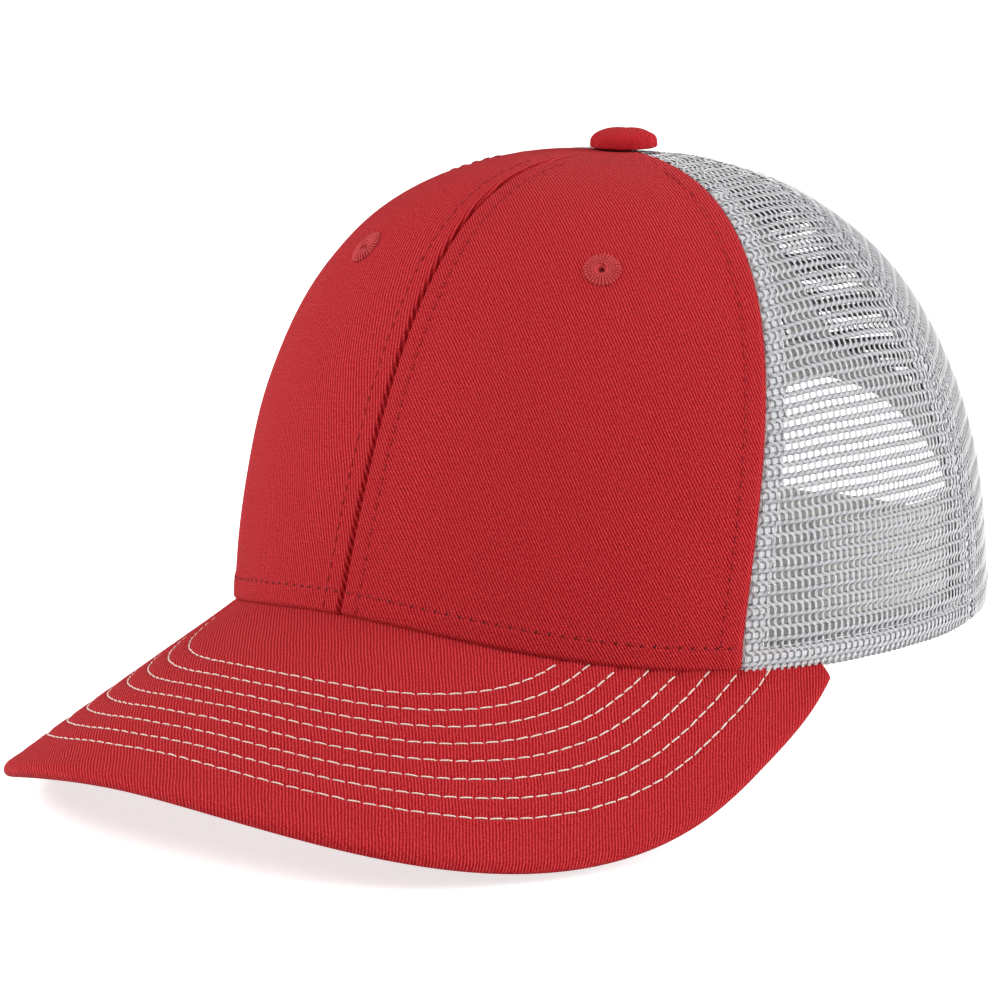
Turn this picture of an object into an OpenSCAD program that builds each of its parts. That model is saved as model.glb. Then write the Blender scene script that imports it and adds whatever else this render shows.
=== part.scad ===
// Trucker mesh cap: two structured twill front panels, four mesh panels, a curved
// eight-row bill and a plastic snap strap. Millimetres, +Z up, +X to the wearer's left,
// the bill points along -Y. The origin is the centre of the head opening, on its plane.

/* [Crown] */
// Half-width of the head oval
head_half_width = 82; // [80:0.5:84]
// Distance from the origin to the front of the head oval
head_front = 94.5; // [93:0.5:96]
// Distance from the origin to the back of the head oval
head_back = 97; // [95:0.5:99]
// Height of the crown above the head opening, without the button
crown_h = 107; // [104:1:110]
// How far behind the origin the panels meet
apex_back = 3.5; // [2:0.5:5]
// Thickness of the front twill
twill_t = 0.8; // [0.6:0.05:0.85]
// Thickness of the mesh
mesh_t = 0.8; // [0.6:0.05:0.85]

/* [Bill] */
// Half-width of the bill, measured round its curve
bill_half_width = 100.5; // [98:0.5:103]
// Length of the bill down its middle
bill_length = 71; // [68:0.5:76]
// Radius that the bill is bent to
bill_radius = 115; // [112:0.5:120]
// Angle that the bill slopes down, in degrees
bill_pitch = 20; // [18:0.5:22]
// Thickness of the bill board
board_t = 2; // [1.6:0.1:2.2]
// Rows of stitching on the bill
stitch_rows = 8; // [4:1:9]
// Distance between rows of stitching
row_gap = 5.2; // [4:0.1:5.5]

/* [Rear opening] */
// Half-width of the arch above the strap
arch_half_width = 42; // [40:0.5:44]
// Height of the arch
arch_h = 46; // [42:0.5:50]
// Height of the snap straps
strap_h = 14; // [12:0.5:16]
// Thickness of the snap straps
strap_t = 1.2; // [1:0.1:1.4]
// Radius that the straps are curved to
strap_radius = 110; // [106:1:116]
// Distance between snaps
snap_pitch = 8; // [7.8:0.1:8.2]
// Radius of a snap hole
hole_r = 2.25; // [2.2:0.05:2.3]
// Radius of a snap peg
peg_r = 1.75; // [1.6:0.05:1.8]

/* [Inside] */
// Height of the sweatband
sweatband_h = 32; // [28:1:34]
// Width of the seam tapes
tape_w = 12; // [10:0.5:13]
// Height of the care label
label_h = 24; // [18:1:26]

/* [Hidden] */

red = [0.76, 0.16, 0.18];
white = [0.93, 0.93, 0.93];
pale = [0.85, 0.84, 0.82];

seam_slit = 0.14;                 // half the slit between neighbouring panels, in degrees
layer_gap = 0.2;                  // clearance between sewn layers
buckram_t = 0.6;
tape_t = 0.4;
thread_t = 0.3;
thread_w = 0.3;                   // half-width of a line of thread
lift = 0.25;                      // clearance under threads and embroidery
bill_root_z = 9.8;                // height of the bill's surface at the front of the oval
bill_wide_at = -16.5;             // where the bill is widest, measured along its length
bill_side_power = 2.3;
bill_front_power = 1.97;
bill_corner = 78;                 // angle round the oval where the bill ends
bill_droop = 3.3;                 // how far the bill's corners sag below its curved sheet
cover_t = 0.7;
board_inset = 1.5;                // from the covers' edge to the board's
corner_gap = 1.2;                 // from the crown to the very corner of the bill
first_row = 12.6;                 // from the bill's edge to the outer row
apex_hole = 0.03;                 // share of the oval left open under the button
buckram_depth = twill_t + layer_gap;
tape_depth = buckram_depth + buckram_t + 0.3;
mesh_tape_depth = mesh_t + 0.5;
band_depth = 3.4;                 // from the crown's outer face to the sweatband
band_t = 1.5;
pad_depth = 2.5;
pad_t = 0.6;
tab_depth = 2.15;
tab_t = 0.9;
label_t = 0.4;
label_a = 128;                    // angle round the oval of the care label
label_depth = band_depth + band_t + 0.4;
eyelet_left_at = [42, 55];        // a and e of each eyelet
eyelet_right_at = [-29.5, 58.5];
eyelet_hole_r = 1;
button_r = 7.9;
strap_centre_y = -19.5;
snap_step = snap_pitch / strap_radius * 180 / PI;
strap_hinge_a = 19.8;             // angle round the strap's own centre of each hinge line
strap_gap = 0.4;
snaps = 6;
engaged = 3;
$fn = 64;

// ---- Shape of the crown ------------------------------------------------------------
// a is the angle round from the middle of the front, + to the wearer's left;
// e runs from 0 at the head opening to 90 at the button.
function front_share(a) = pow(max(cos(a), 0), 2);
function back_share(a) = pow(max(-cos(a), 0), 2);
function blend(a, front, side, back) =
    front * front_share(a) + back * back_share(a)
    + side * (1 - front_share(a) - back_share(a));
function reach_power(a) = blend(a, 3.6, 2.4, 1.7);
function rise_power(a) = blend(a, 1.1, 3.0, 1.5);
function reach(a, e) = pow(max(cos(e), 0), 2 / reach_power(a));
function crown_point(a, e) =
    let (r = reach(a, e), half_length = cos(a) > 0 ? head_front : head_back)
    [head_half_width * r * sin(a),
     apex_back * (1 - r) - half_length * r * cos(a),
     crown_h * pow(max(sin(e), 0), 2 / rise_power(a))];
function unit(v) = v / norm(v);
function crown_normal(a, e) =
    unit(cross(crown_point(a + 0.4, e) - crown_point(a - 0.4, e),
               crown_point(a, e + 0.3) - crown_point(a, e)));
function crown_at(a, e, depth) = crown_point(a, e) - depth * crown_normal(a, min(e, 89));
function e_at_height(a, z) = asin(pow(max(z, 0) / crown_h, rise_power(a) / 2));
function e_top(a) = acos(pow(apex_hole, reach_power(a) / 2));
function mix(x, y, t) = x * (1 - t) + y * t;
function ease(t) = let (c = min(max(t, 0), 1)) c * c * (3 - 2 * c);

// Seams between panels, as an angle that changes with e. side is 1 or -1.
function front_seam(e, side) = let (s = e / 90) side * (63.8 + 23.3 * s - 11.6 * s * s);
function rear_seam(e, side) = let (s = e / 90) side * (114.8 - 28.4 * s + 33.6 * s * s * s);

// ---- Shape of the bill: a flat sheet bent round a sloping cylinder --------------------
function bend_drop(x) = bill_radius - sqrt(bill_radius * bill_radius - x * x);
function sheet_uv(p) =
    [bill_radius * asin(p[0] / bill_radius) * PI / 180,
     (bend_drop(p[0]) * sin(bill_pitch) - head_front - p[1]) / cos(bill_pitch)];
function droop(uv) = bill_droop * ease((abs(uv[0]) - 76) / 14) * ease((-uv[1] - 30) / 40);
function sheet_z(x, y) =
    bill_root_z + tan(bill_pitch) * (y + head_front) - bend_drop(x) / cos(bill_pitch)
    - droop(sheet_uv([x, y]));
function sheet_point(uv, h) =
    let (t = uv[0] / bill_radius * 180 / PI,
         sunk = bill_radius - (bill_radius + h) * cos(t))
    [(bill_radius + h) * sin(t),
     -head_front - uv[1] * cos(bill_pitch) + sunk * sin(bill_pitch),
     bill_root_z - uv[1] * sin(bill_pitch) - sunk * cos(bill_pitch) - droop(uv)];

// Bottom edge of the crown: it follows the bill in front and is level behind.
function bill_line(a) =
    let (z = sheet_z(crown_point(a, 0)[0], crown_point(a, 0)[1]),
         p = crown_point(a, e_at_height(a, z)))
    sheet_z(p[0], p[1]);
function rim_z(a) = abs(a) > 72 ? 0 : bill_line(a) * (1 - ease((abs(a) - 58) / 14));

// ---- Solids from grids of points -------------------------------------------------------
// A closed slab between two equal grids, the first seen from outside the slab.
module slab(front, back) {
    rows = len(front);
    cols = len(front[0]);
    n = rows * cols;
    function at(i, j) = i * cols + j;
    function face(a, b, c, d) = [[a, b, c], [a, c, d]];
    points = concat([for (r = front) each r], [for (r = back) each r]);
    skin = [for (i = [0 : rows - 2], j = [0 : cols - 2])
        each face(at(i, j), at(i + 1, j), at(i + 1, j + 1), at(i, j + 1))];
    lining = [for (f = skin) [f[2] + n, f[1] + n, f[0] + n]];
    ends = [for (j = [0 : cols - 2]) each concat(
        face(at(0, j), at(0, j + 1), at(0, j + 1) + n, at(0, j) + n),
        face(at(rows - 1, j + 1), at(rows - 1, j), at(rows - 1, j) + n,
             at(rows - 1, j + 1) + n))];
    sides = [for (i = [0 : rows - 2]) each concat(
        face(at(i + 1, 0), at(i, 0), at(i, 0) + n, at(i + 1, 0) + n),
        face(at(i, cols - 1), at(i + 1, cols - 1), at(i + 1, cols - 1) + n,
             at(i, cols - 1) + n))];
    polyhedron(points, concat(skin, lining, ends, sides), convexity = 8);
}

// A piece of the crown: grid holds [a, e] pairs.
module crown_piece(grid, depth, t) {
    slab([for (row = grid) [for (p = row) crown_at(p[0], p[1], depth)]],
         [for (row = grid) [for (p = row) crown_at(p[0], p[1], depth + t)]]);
}

// ---- Crown panels ------------------------------------------------------------------------
function panel_grid(from, to, rows, cols) =
    [for (i = [0 : rows]) [for (j = [0 : cols])
        let (k = j / cols,
             low_a = mix(from(5), to(5), k),
             high_a = mix(from(88), to(88), k),
             e = mix(e_at_height(low_a, rim_z(low_a)), e_top(high_a), i / rows))
        [mix(from(e), to(e), k), e]]];

module front_grid_piece(side, depth, t) {
    edge = function (e) front_seam(e, side) - side * seam_slit;
    middle = function (e) side * seam_slit;
    grid = side > 0 ? panel_grid(middle, edge, 16, 12) : panel_grid(edge, middle, 16, 12);
    crown_piece(grid, depth, t);
}

module side_mesh(side) {
    front = function (e) front_seam(e, side) + side * seam_slit;
    back = function (e) rear_seam(e, side) - side * seam_slit;
    grid = side > 0 ? panel_grid(front, back, 16, 9) : panel_grid(back, front, 16, 9);
    color(white) crown_piece(grid, 0, mesh_t);
}

// A place on the rear wall, given its distance from the middle and its height.
function rear_place(x, z) =
    let (a0 = 180 - asin(x / head_half_width),
         a1 = 180 - asin(min(x / head_half_width / reach(a0, e_at_height(a0, z)), 1)),
         a2 = 180 - asin(min(x / head_half_width / reach(a1, e_at_height(a1, z)), 1)))
    [a2, e_at_height(a2, z)];
function arch_place(t, grow) =
    rear_place((arch_half_width + grow) * cos(t), (arch_h + grow) * sin(t));
arch_corner_a = arch_place(0, 0)[0];

// Columns of a rear panel start on the rim, then along the arch, and run to the button.
rear_starts = concat(
    [for (k = [0 : 4]) [mix(rear_seam(0, 1) + seam_slit, arch_corner_a, k / 5), 0]],
    [for (t = [0 : 9 : 90]) arch_place(t, 0)]);
function rear_share(start) =
    min((start[0] - rear_seam(start[1], 1)) / (180 - rear_seam(start[1], 1)), 0.998);

module rear_mesh(side) {
    rows = 16;
    grid = [for (i = [0 : rows]) [for (start = rear_starts)
        let (high_a = mix(rear_seam(88, 1), 180, rear_share(start)),
             e = mix(start[1], e_top(high_a), i / rows),
             a = mix(rear_seam(e, 1) + seam_slit, 180 - seam_slit, rear_share(start)))
        [side * a, e]]];
    turned = [for (row = grid) [for (j = [len(row) - 1 : -1 : 0]) row[j]]];
    color(white) crown_piece(side > 0 ? grid : turned, 0, mesh_t);
}

module eyelet_frame(at) {
    n = crown_normal(at[0], at[1]);
    translate(crown_point(at[0], at[1])) rotate([0, acos(n[2]), atan2(n[1], n[0])])
        children();
}
module front_layer(side, depth, t) {
    difference() {
        front_grid_piece(side, depth, t);
        eyelet_frame(side > 0 ? eyelet_left_at : eyelet_right_at)
            translate([0, 0, -5]) cylinder(r = eyelet_hole_r + 0.9, h = 8);
    }
}
module front_panel(side) { color(red) front_layer(side, 0, twill_t); }
module buckram(side) { color(pale) front_layer(side, buckram_depth, buckram_t); }

// A stitched ring round a hole, on both faces of the two layers.
module eyelet(at) {
    inner = eyelet_hole_r;
    back = -(buckram_depth + buckram_t + 3 * lift);
    color(red) eyelet_frame(at) rotate_extrude()
        polygon([[inner, back - 0.6], [inner, lift + 0.7], [2.8, lift + 0.9],
                 [4.3, lift + 0.6], [4.6, lift], [inner + 0.6, lift],
                 [inner + 0.6, back], [3.4, back], [3.4, back - 0.6]]);
}

// ---- Seam tapes and stitching -----------------------------------------------------------
function middle_distance(a, e) = norm([for (i = [0, 1]) crown_point(a, e)[i] - [0, apex_back][i]]);
function spread(a, e, w) = w / middle_distance(a, e) * 180 / PI;

module tape(seam, low_z, high_e, depth) {
    rows = 14;
    low_e = e_at_height(seam(5), low_z);
    grid = [for (i = [0 : rows]) [for (w = [-0.5, -0.25, 0, 0.25, 0.5])
        let (e = mix(low_e, high_e, i / rows)) [seam(e) + spread(seam(e), e, w * tape_w), e]]];
    color(white) crown_piece(grid, depth, tape_t);
}
module thread_on_crown(path) {
    grid = [for (p = path) [[p[0] - spread(p[0], p[1], thread_w), p[1]],
                            [p[0] + spread(p[0], p[1], thread_w), p[1]]]];
    crown_piece(grid, -lift - thread_t, thread_t);
}
module thread_round_crown(from, to, height, steps) {
    function place(k, up) = let (a = mix(from, to, k / steps))
        [a, e_at_height(a, rim_z(a) + height + up)];
    crown_piece([for (up = [-thread_w, thread_w]) [for (k = [0 : steps]) place(k, up)]],
                -lift - thread_t, thread_t);
}
module crown_stitching() {
    rows = 12;
    color(red) {
        for (w = [-4.8, 4.8])
            thread_on_crown([for (i = [0 : rows])
                let (e = mix(24, 86, i / rows)) [spread(0, e, w), e]]);
        for (side = [-1, 1])
            thread_on_crown([for (i = [0 : rows])
                let (e = mix(3, 84, i / rows), a = front_seam(e, side))
                [a - side * spread(a, e, 5.5), e]]);
        thread_round_crown(-58, 58, 5.5, 24);
    }
    color(white)
        for (side = [-1, 1]) {
            for (w = [-5, 5])
                thread_on_crown([for (i = [0 : rows])
                    let (e = mix(8, 78, i / rows), a = rear_seam(e, side))
                    [a + spread(a, e, w), e]]);
            thread_round_crown(side > 0 ? 73 : 9 - arch_corner_a,
                               side > 0 ? arch_corner_a - 9 : -73, 6, 12);
        }
}

// ---- Button --------------------------------------------------------------------------------
module at_apex() { translate([0, apex_back, crown_h]) children(); }
module dome(r, h, t) {
    rotate_extrude() difference() {
        scale([1, h / r]) circle(r = r);
        scale([1, (h - t) / (r - t)]) circle(r = r - t);
        translate([-2 * r, -r]) square([2 * r, 2 * r]);
        translate([0, -2 * r]) square([2 * r, 2 * r]);
    }
}
module button_cover() { color(red) at_apex() translate([0, 0, 0.6]) dome(button_r, 5.2, 0.7); }
module button_shell() { color("silver") at_apex() translate([0, 0, 0.6]) dome(button_r - 0.9, 4.2, 0.6); }
module button_rivet() {
    color("silver") at_apex() {
        translate([0, 0, 0.7]) cylinder(r = 4.5, h = 0.8);
        translate([0, 0, -3.6]) cylinder(r = 1.4, h = 4.6);
        translate([0, 0, -4]) cylinder(r = 2.6, h = 0.5);
    }
}
module button_washer() {
    color("silver") at_apex() translate([0, 0, -3.3]) difference() {
        cylinder(r = 7, h = 0.6);
        translate([0, 0, -1]) cylinder(r = 1.5, h = 3);
    }
}

// ---- Bill ----------------------------------------------------------------------------------
// Outline of the bill on its flat sheet, inset by d, from the right corner to the left.
function wall_uv(a, gap) =
    let (z = bill_line(a), e = e_at_height(a, z), p = crown_at(a, e, -gap)) sheet_uv(p);
function outline_front(t, d) =
    [(bill_half_width - d) * sign(sin(t)) * pow(abs(sin(t)), 2 / bill_side_power),
     bill_wide_at + (bill_length - bill_wide_at - d) * pow(max(cos(t), 0), 2 / bill_front_power)];
function outline_corner(t, d, side) =
    let (corner = wall_uv(bill_corner, corner_gap) + [min(d, board_inset), 0])
    [side * ((bill_half_width - d) - (bill_half_width - corner[0]) * t * t),
     mix(bill_wide_at, corner[1], t)];
function outline(d, steps) = concat(
    [for (t = [1 : -0.2 : 0.1]) outline_corner(t, d, -1)],
    [for (i = [0 : steps]) outline_front(mix(-90, 90, i / steps), d)],
    [for (t = [0.2 : 0.2 : 1.01]) outline_corner(t, d, 1)]);

module bill_layer(top, t, inset) {
    rows = 7;
    edge = outline(inset, 28);
    last = len(edge) - 1;
    under = top + t;
    root = [for (j = [0 : last])
        let (a = mix(-bill_corner + 0.5, bill_corner - 0.5, j / last),
             beside_wall = 0.6 + 0.75 * under * pow(sin(abs(a)), 2))
        wall_uv(a, mix(beside_wall, 0.4, ease((abs(a) - 60) / 10)))];
    function sheet(h) = [for (i = [0 : rows]) [for (j = [0 : last])
        sheet_point(mix(edge[j], root[j], i / rows), -h)]];
    slab(sheet(top), sheet(under));
}
module bill_top_cover() { color(red) bill_layer(0, cover_t, 0); }
module bill_board() { color(pale) bill_layer(cover_t + layer_gap, board_t, board_inset); }
module bill_under_cover() { color(red) bill_layer(cover_t + board_t + 2 * layer_gap, cover_t, 0); }

function outside_crown(uv) =
    let (p = sheet_point(uv, 0))
    pow(p[0] / (head_half_width + 2.2), 2) + pow(p[1] / (head_front + 2.2), 2) > 1;
function flank(path, i) =
    let (v = path[min(i + 1, len(path) - 1)] - path[max(i - 1, 0)]) unit([-v[1], v[0]]);
function strip(path, h) = [for (i = [0 : len(path) - 1])
    [for (w = [thread_w, -thread_w]) sheet_point(path[i] + w * flank(path, i), h)]];
module bill_stitching() {
    color([0.95, 0.86, 0.84])
        for (row = [0 : stitch_rows - 1]) {
            path = [for (p = outline(first_row + row * row_gap, 24)) if (outside_crown(p)) p];
            slab(strip(path, lift + thread_t), strip(path, lift));
        }
}

// ---- Sweatband and rear opening -------------------------------------------------------------
function band_grid(from, to, cols, low, high) =
    [for (i = [0 : 4]) [for (j = [0 : cols])
        let (a = mix(from, to, j / cols))
        [a, e_at_height(a, mix(rim_z(a) + low, high, i / 4))]]];
module sweatband() {
    end_a = arch_corner_a - 2;
    color(white) crown_piece(band_grid(-end_a, end_a, 40, 0.3, sweatband_h), band_depth, band_t);
}
module sweatband_padding() {
    color(pale) crown_piece(band_grid(-56, 56, 18, 4, sweatband_h - 3), pad_depth, pad_t);
}

// A tape folded over the edge of the arch. Each section is a U of eight points.
module arch_binding() {
    section = [[9, -0.9], [-0.9, -0.9], [-0.9, mesh_t + 0.9], [9, mesh_t + 0.9],
               [9, mesh_t + 0.4], [-0.4, mesh_t + 0.4], [-0.4, -0.4], [9, -0.4]];
    steps = 24;
    n = len(section);
    points = [for (i = [0 : steps]) each [for (s = section)
        let (t = mix(0, 180, i / steps), half = min(t, 180 - t),
             place = arch_place(half, s[0]), side = t > 90 ? -1 : 1)
        crown_at(side * place[0], place[1], s[1])]];
    walls = [for (i = [0 : steps - 1], j = [0 : n - 1])
        let (a = i * n + j, b = i * n + (j + 1) % n) each [[a, b, b + n], [a, b + n, a + n]]];
    function cap(k) = [for (q = [[0, 1, 6, 7], [1, 2, 5, 6], [2, 3, 4, 5]])
        [for (v = q) v + k]];
    first = [for (f = cap(0)) [f[3], f[2], f[1], f[0]]];
    color(white) polyhedron(points, concat(walls, first, cap(steps * n)), convexity = 8);
}

module strap_tab(side) {
    from = arch_half_width - 3.6;
    grid = [for (z = [1 : 4 : strap_h - 1]) [for (k = [0 : 5])
        let (p = rear_place(mix(from, from + 15, k / 5), z)) [side * p[0], p[1]]]];
    turned = [for (row = grid) [for (j = [5 : -1 : 0]) row[j]]];
    color(white) crown_piece(side > 0 ? turned : grid, tab_depth, tab_t);
}
module strap_stitching() {
    color(white)
        for (side = [-1, 1], x = [44, 52]) {
            grid = [for (z = [2 : 3 : 11]) [for (w = [-thread_w, thread_w])
                let (p = rear_place(x + w, z)) [side * p[0], p[1]]]];
            turned = [for (row = grid) [row[1], row[0]]];
            crown_piece(side > 0 ? turned : grid, -0.8 - lift - thread_t, thread_t);
        }
}

// A curved strap round the strap's own centre, from its hinge line to a rounded free end.
// Angles are measured from the middle of the back, + to the wearer's left.
module strap_arc(outer_r, from, to) {
    turn = to > from ? 1 : -1;
    end_a = to - turn * strap_h / 2 / outer_r * 180 / PI;
    intersection() {
        translate([0, strap_centre_y, 0]) rotate_extrude($fn = 256)
            translate([outer_r - strap_t, 0]) square([strap_t, strap_h]);
        union() {
            translate([0, strap_centre_y, 0]) linear_extrude(strap_h)
                polygon([[0, 0], each [for (a = [min(from, end_a), max(from, end_a)])
                    200 * [sin(a), cos(a)]]]);
            on_strap(end_a) translate([0, 0, outer_r - 5]) cylinder(r = strap_h / 2, h = 10);
        }
    }
}
module on_strap(a) {
    translate([0, strap_centre_y, strap_h / 2]) rotate([-90, 0, -a]) children();
}
module peg_strap() {
    r = strap_radius - strap_t - strap_gap;
    color(white) {
        strap_arc(r, -strap_hinge_a + 0.4, 6.5);
        for (i = [0 : snaps - 1])
            on_strap((engaged - 1) / 2 * snap_step - i * snap_step)
                translate([0, 0, r - 0.3]) cylinder(r = peg_r, h = strap_t + strap_gap + 0.6);
    }
}
module hole_strap() {
    color(white) difference() {
        strap_arc(strap_radius, strap_hinge_a - 0.4, -6.5);
        for (i = [0 : snaps - 1])
            on_strap(-(engaged - 1) / 2 * snap_step + i * snap_step)
                translate([0, 0, strap_radius - 5]) cylinder(r = hole_r, h = 10);
    }
}

// A blank label that hangs from the top edge of the sweatband.
module care_label() {
    half = 7;
    grid = [for (i = [0 : 4]) [for (j = [0 : 4])
        let (a = label_a + mix(-half, half, j / 4))
        [a, e_at_height(a, mix(sweatband_h + 0.4 - label_h, sweatband_h + 0.4, i / 4))]]];
    color(white) crown_piece(grid, label_depth, label_t);
}

front_panel(1);  // front_panel_left
front_panel(-1);  // front_panel_right
side_mesh(1);  // side_mesh_left
side_mesh(-1);  // side_mesh_right
rear_mesh(1);  // rear_mesh_left
rear_mesh(-1);  // rear_mesh_right
buckram(1);  // buckram_left
buckram(-1);  // buckram_right
tape(function (e) 0, bill_line(0) + 0.5, 80, tape_depth);  // front_seam_tape
tape(function (e) front_seam(e, 1), 1.5, 78, tape_depth);  // front_side_tape_left
tape(function (e) front_seam(e, -1), 1.5, 78, tape_depth);  // front_side_tape_right
tape(function (e) rear_seam(e, 1), 1, 76, mesh_tape_depth);  // rear_side_tape_left
tape(function (e) rear_seam(e, -1), 1, 76, mesh_tape_depth);  // rear_side_tape_right
tape(function (e) 180, arch_h + 11, 74, mesh_tape_depth);  // rear_seam_tape
crown_stitching();
eyelet(eyelet_left_at);  // eyelet_left
eyelet(eyelet_right_at);  // eyelet_right
button_cover();
button_shell();
button_rivet();
button_washer();
bill_top_cover();
bill_board();
bill_under_cover();
bill_stitching();
sweatband();
sweatband_padding();
arch_binding();
strap_tab(-1);  // peg_strap_tab
strap_tab(1);  // hole_strap_tab
strap_stitching();
peg_strap();
hole_strap();
care_label();
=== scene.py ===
import math

import bpy
import numpy as np
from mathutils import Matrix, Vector


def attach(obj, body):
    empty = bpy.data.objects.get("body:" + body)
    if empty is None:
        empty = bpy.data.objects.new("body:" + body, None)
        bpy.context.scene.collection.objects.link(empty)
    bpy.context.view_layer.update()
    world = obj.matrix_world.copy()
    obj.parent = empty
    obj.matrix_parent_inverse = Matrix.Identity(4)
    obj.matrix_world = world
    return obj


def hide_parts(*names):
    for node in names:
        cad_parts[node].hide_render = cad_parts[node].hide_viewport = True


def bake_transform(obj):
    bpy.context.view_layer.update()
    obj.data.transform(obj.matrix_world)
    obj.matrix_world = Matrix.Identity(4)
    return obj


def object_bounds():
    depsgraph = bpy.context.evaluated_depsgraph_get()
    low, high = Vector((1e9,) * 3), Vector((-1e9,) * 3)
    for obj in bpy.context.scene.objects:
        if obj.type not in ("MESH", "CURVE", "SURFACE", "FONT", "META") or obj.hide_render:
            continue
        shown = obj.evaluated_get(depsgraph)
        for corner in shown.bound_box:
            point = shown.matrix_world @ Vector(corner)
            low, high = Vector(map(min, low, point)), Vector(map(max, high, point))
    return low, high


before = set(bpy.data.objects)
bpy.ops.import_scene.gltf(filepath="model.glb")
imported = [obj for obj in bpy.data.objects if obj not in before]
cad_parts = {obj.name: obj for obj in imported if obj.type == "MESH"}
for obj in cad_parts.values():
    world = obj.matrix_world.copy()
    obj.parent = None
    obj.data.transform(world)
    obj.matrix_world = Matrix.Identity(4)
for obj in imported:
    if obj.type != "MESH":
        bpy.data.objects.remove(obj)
cad_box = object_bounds()

# Sizes in millimetres and angles in degrees, as in the CAD source.
MM = 0.001
HEAD_HALF_WIDTH, HEAD_FRONT, HEAD_BACK = 82.0, 94.5, 97.0
CROWN_H, APEX_BACK = 107.0, 3.5
TWILL_T, BUCKRAM_DEPTH, BUCKRAM_T = 0.8, 1.0, 0.6
TAPE_DEPTH, MESH_TAPE_DEPTH, TAPE_T, TAPE_W = 1.9, 1.3, 0.4, 12.0
BAND_DEPTH, BAND_T, SWEATBAND_H, PAD_DEPTH, PAD_T = 3.4, 1.5, 32.0, 2.5, 0.6
BILL_HALF_WIDTH, BILL_LENGTH, BILL_RADIUS, BILL_PITCH = 100.5, 71.0, 115.0, 20.0
BILL_ROOT_Z, BILL_WIDE_AT, BILL_CORNER, BILL_T = 9.8, -16.5, 78.0, 3.8
BILL_SIDE_POWER, BILL_FRONT_POWER, CORNER_GAP, BILL_DROOP = 2.3, 1.97, 1.2, 3.3
FIRST_ROW, ROW_GAP, STITCH_ROWS = 12.6, 5.2, 8
ARCH_HALF_WIDTH, ARCH_H = 42.0, 46.0
STRAP_H, STRAP_T, STRAP_RADIUS, STRAP_CENTRE_Y = 14.0, 1.2, 110.0, -19.5
STRAP_GAP, SNAP_STEP, SNAPS, ENGAGED, STRAP_HINGE_A, STRAP_END_A = 0.4, 4.167, 6, 3, 19.8, 6.5
HOLE_R, PEG_R, TAB_DEPTH, TAB_T = 2.25, 1.75, 2.15, 0.9
LABEL_A, LABEL_H, LABEL_DEPTH, LABEL_T = 128.0, 24.0, 5.3, 0.4
EYELET_AT, EYELET_HOLE_R = {1: (42.0, 55.0), -1: (-29.5, 58.5)}, 1.0
BUTTON_R, BUTTON_H = 7.8, 4.3
SEAM_SLIT, APEX_HOLE = 0.14, 0.03
SIDES = ((1, "left"), (-1, "right"))


# ---- Shape of the crown ----
# a is the angle round from the middle of the front, + to the wearer's left;
# e runs from 0 at the head opening to 90 at the button.
HALF_STEP = 0.4


def sind(a):
    return np.sin(np.radians(a))


def cosd(a):
    return np.cos(np.radians(a))


def ease(t):
    t = np.clip(t, 0, 1)
    return t * t * (3 - 2 * t)


def mix(x, y, t):
    return x * (1 - t) + y * t


def hump(x, width):
    return np.exp(-((x / width) ** 2))


def unit(v):
    return v / np.linalg.norm(v, axis=-1, keepdims=True)


def by_direction(a, front, side, back):
    f = np.maximum(cosd(a), 0) ** 2
    b = np.maximum(-cosd(a), 0) ** 2
    return front * f + back * b + side * (1 - f - b)


def rise_power(a):
    return by_direction(a, 1.1, 3.0, 1.5)


def reach_power(a):
    return by_direction(a, 3.6, 2.4, 1.7)


def reach(a, e):
    return np.maximum(cosd(e), 0) ** (2 / reach_power(a))


def crown_point(a, e):
    r = reach(a, e)
    half_length = np.where(cosd(a) > 0, HEAD_FRONT, HEAD_BACK)
    x = HEAD_HALF_WIDTH * r * sind(a)
    y = APEX_BACK * (1 - r) - half_length * r * cosd(a)
    z = CROWN_H * np.maximum(sind(e), 0) ** (2 / rise_power(a))
    return np.stack(np.broadcast_arrays(x, y, z), -1)


def round_step(a, e):
    """From HALF_STEP degrees before a place to as much after it."""
    return crown_point(a + HALF_STEP, e) - crown_point(a - HALF_STEP, e)


def crown_normal(a, e):
    e = np.minimum(e, 89)
    upwards = crown_point(a, e + 0.3) - crown_point(a, e)
    return unit(np.cross(round_step(a, e), upwards))


def crown_at(a, e, depth):
    return crown_point(a, e) - np.asarray(depth)[..., None] * crown_normal(a, e)


def e_at_height(a, z):
    return np.degrees(np.arcsin((np.maximum(z, 0) / CROWN_H) ** (rise_power(a) / 2)))


def e_top(a):
    return np.degrees(np.arccos(APEX_HOLE ** (reach_power(a) / 2)))


def front_seam(e, side):
    s = e / 90
    return side * (63.8 + 23.3 * s - 11.6 * s**2)


def rear_seam(e, side):
    s = e / 90
    return side * (114.8 - 28.4 * s + 33.6 * s**3)


def arc_scale(a, e):
    """Millimetres per degree round the crown."""
    return np.linalg.norm(round_step(a, e), axis=-1) / (2 * HALF_STEP)


def bilinear(table, x, y):
    """The table at fractional row x and column y."""
    x = np.clip(x, 0, table.shape[0] - 1.001)
    y = np.clip(y, 0, table.shape[1] - 1.001)
    i, j = x.astype(int), y.astype(int)
    fx, fy = x - i, y - j
    low = table[i, j] * (1 - fy) + table[i, j + 1] * fy
    high = table[i + 1, j] * (1 - fy) + table[i + 1, j + 1] * fy
    return low * (1 - fx) + high * fx


# Distance up the crown from the head opening, tabled for every degree round it. Both
# tables use x, from 0 to 1, for e, because the wall is steep at either end of e.
ARC_STEP = 0.5
X_STEPS = 400


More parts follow.
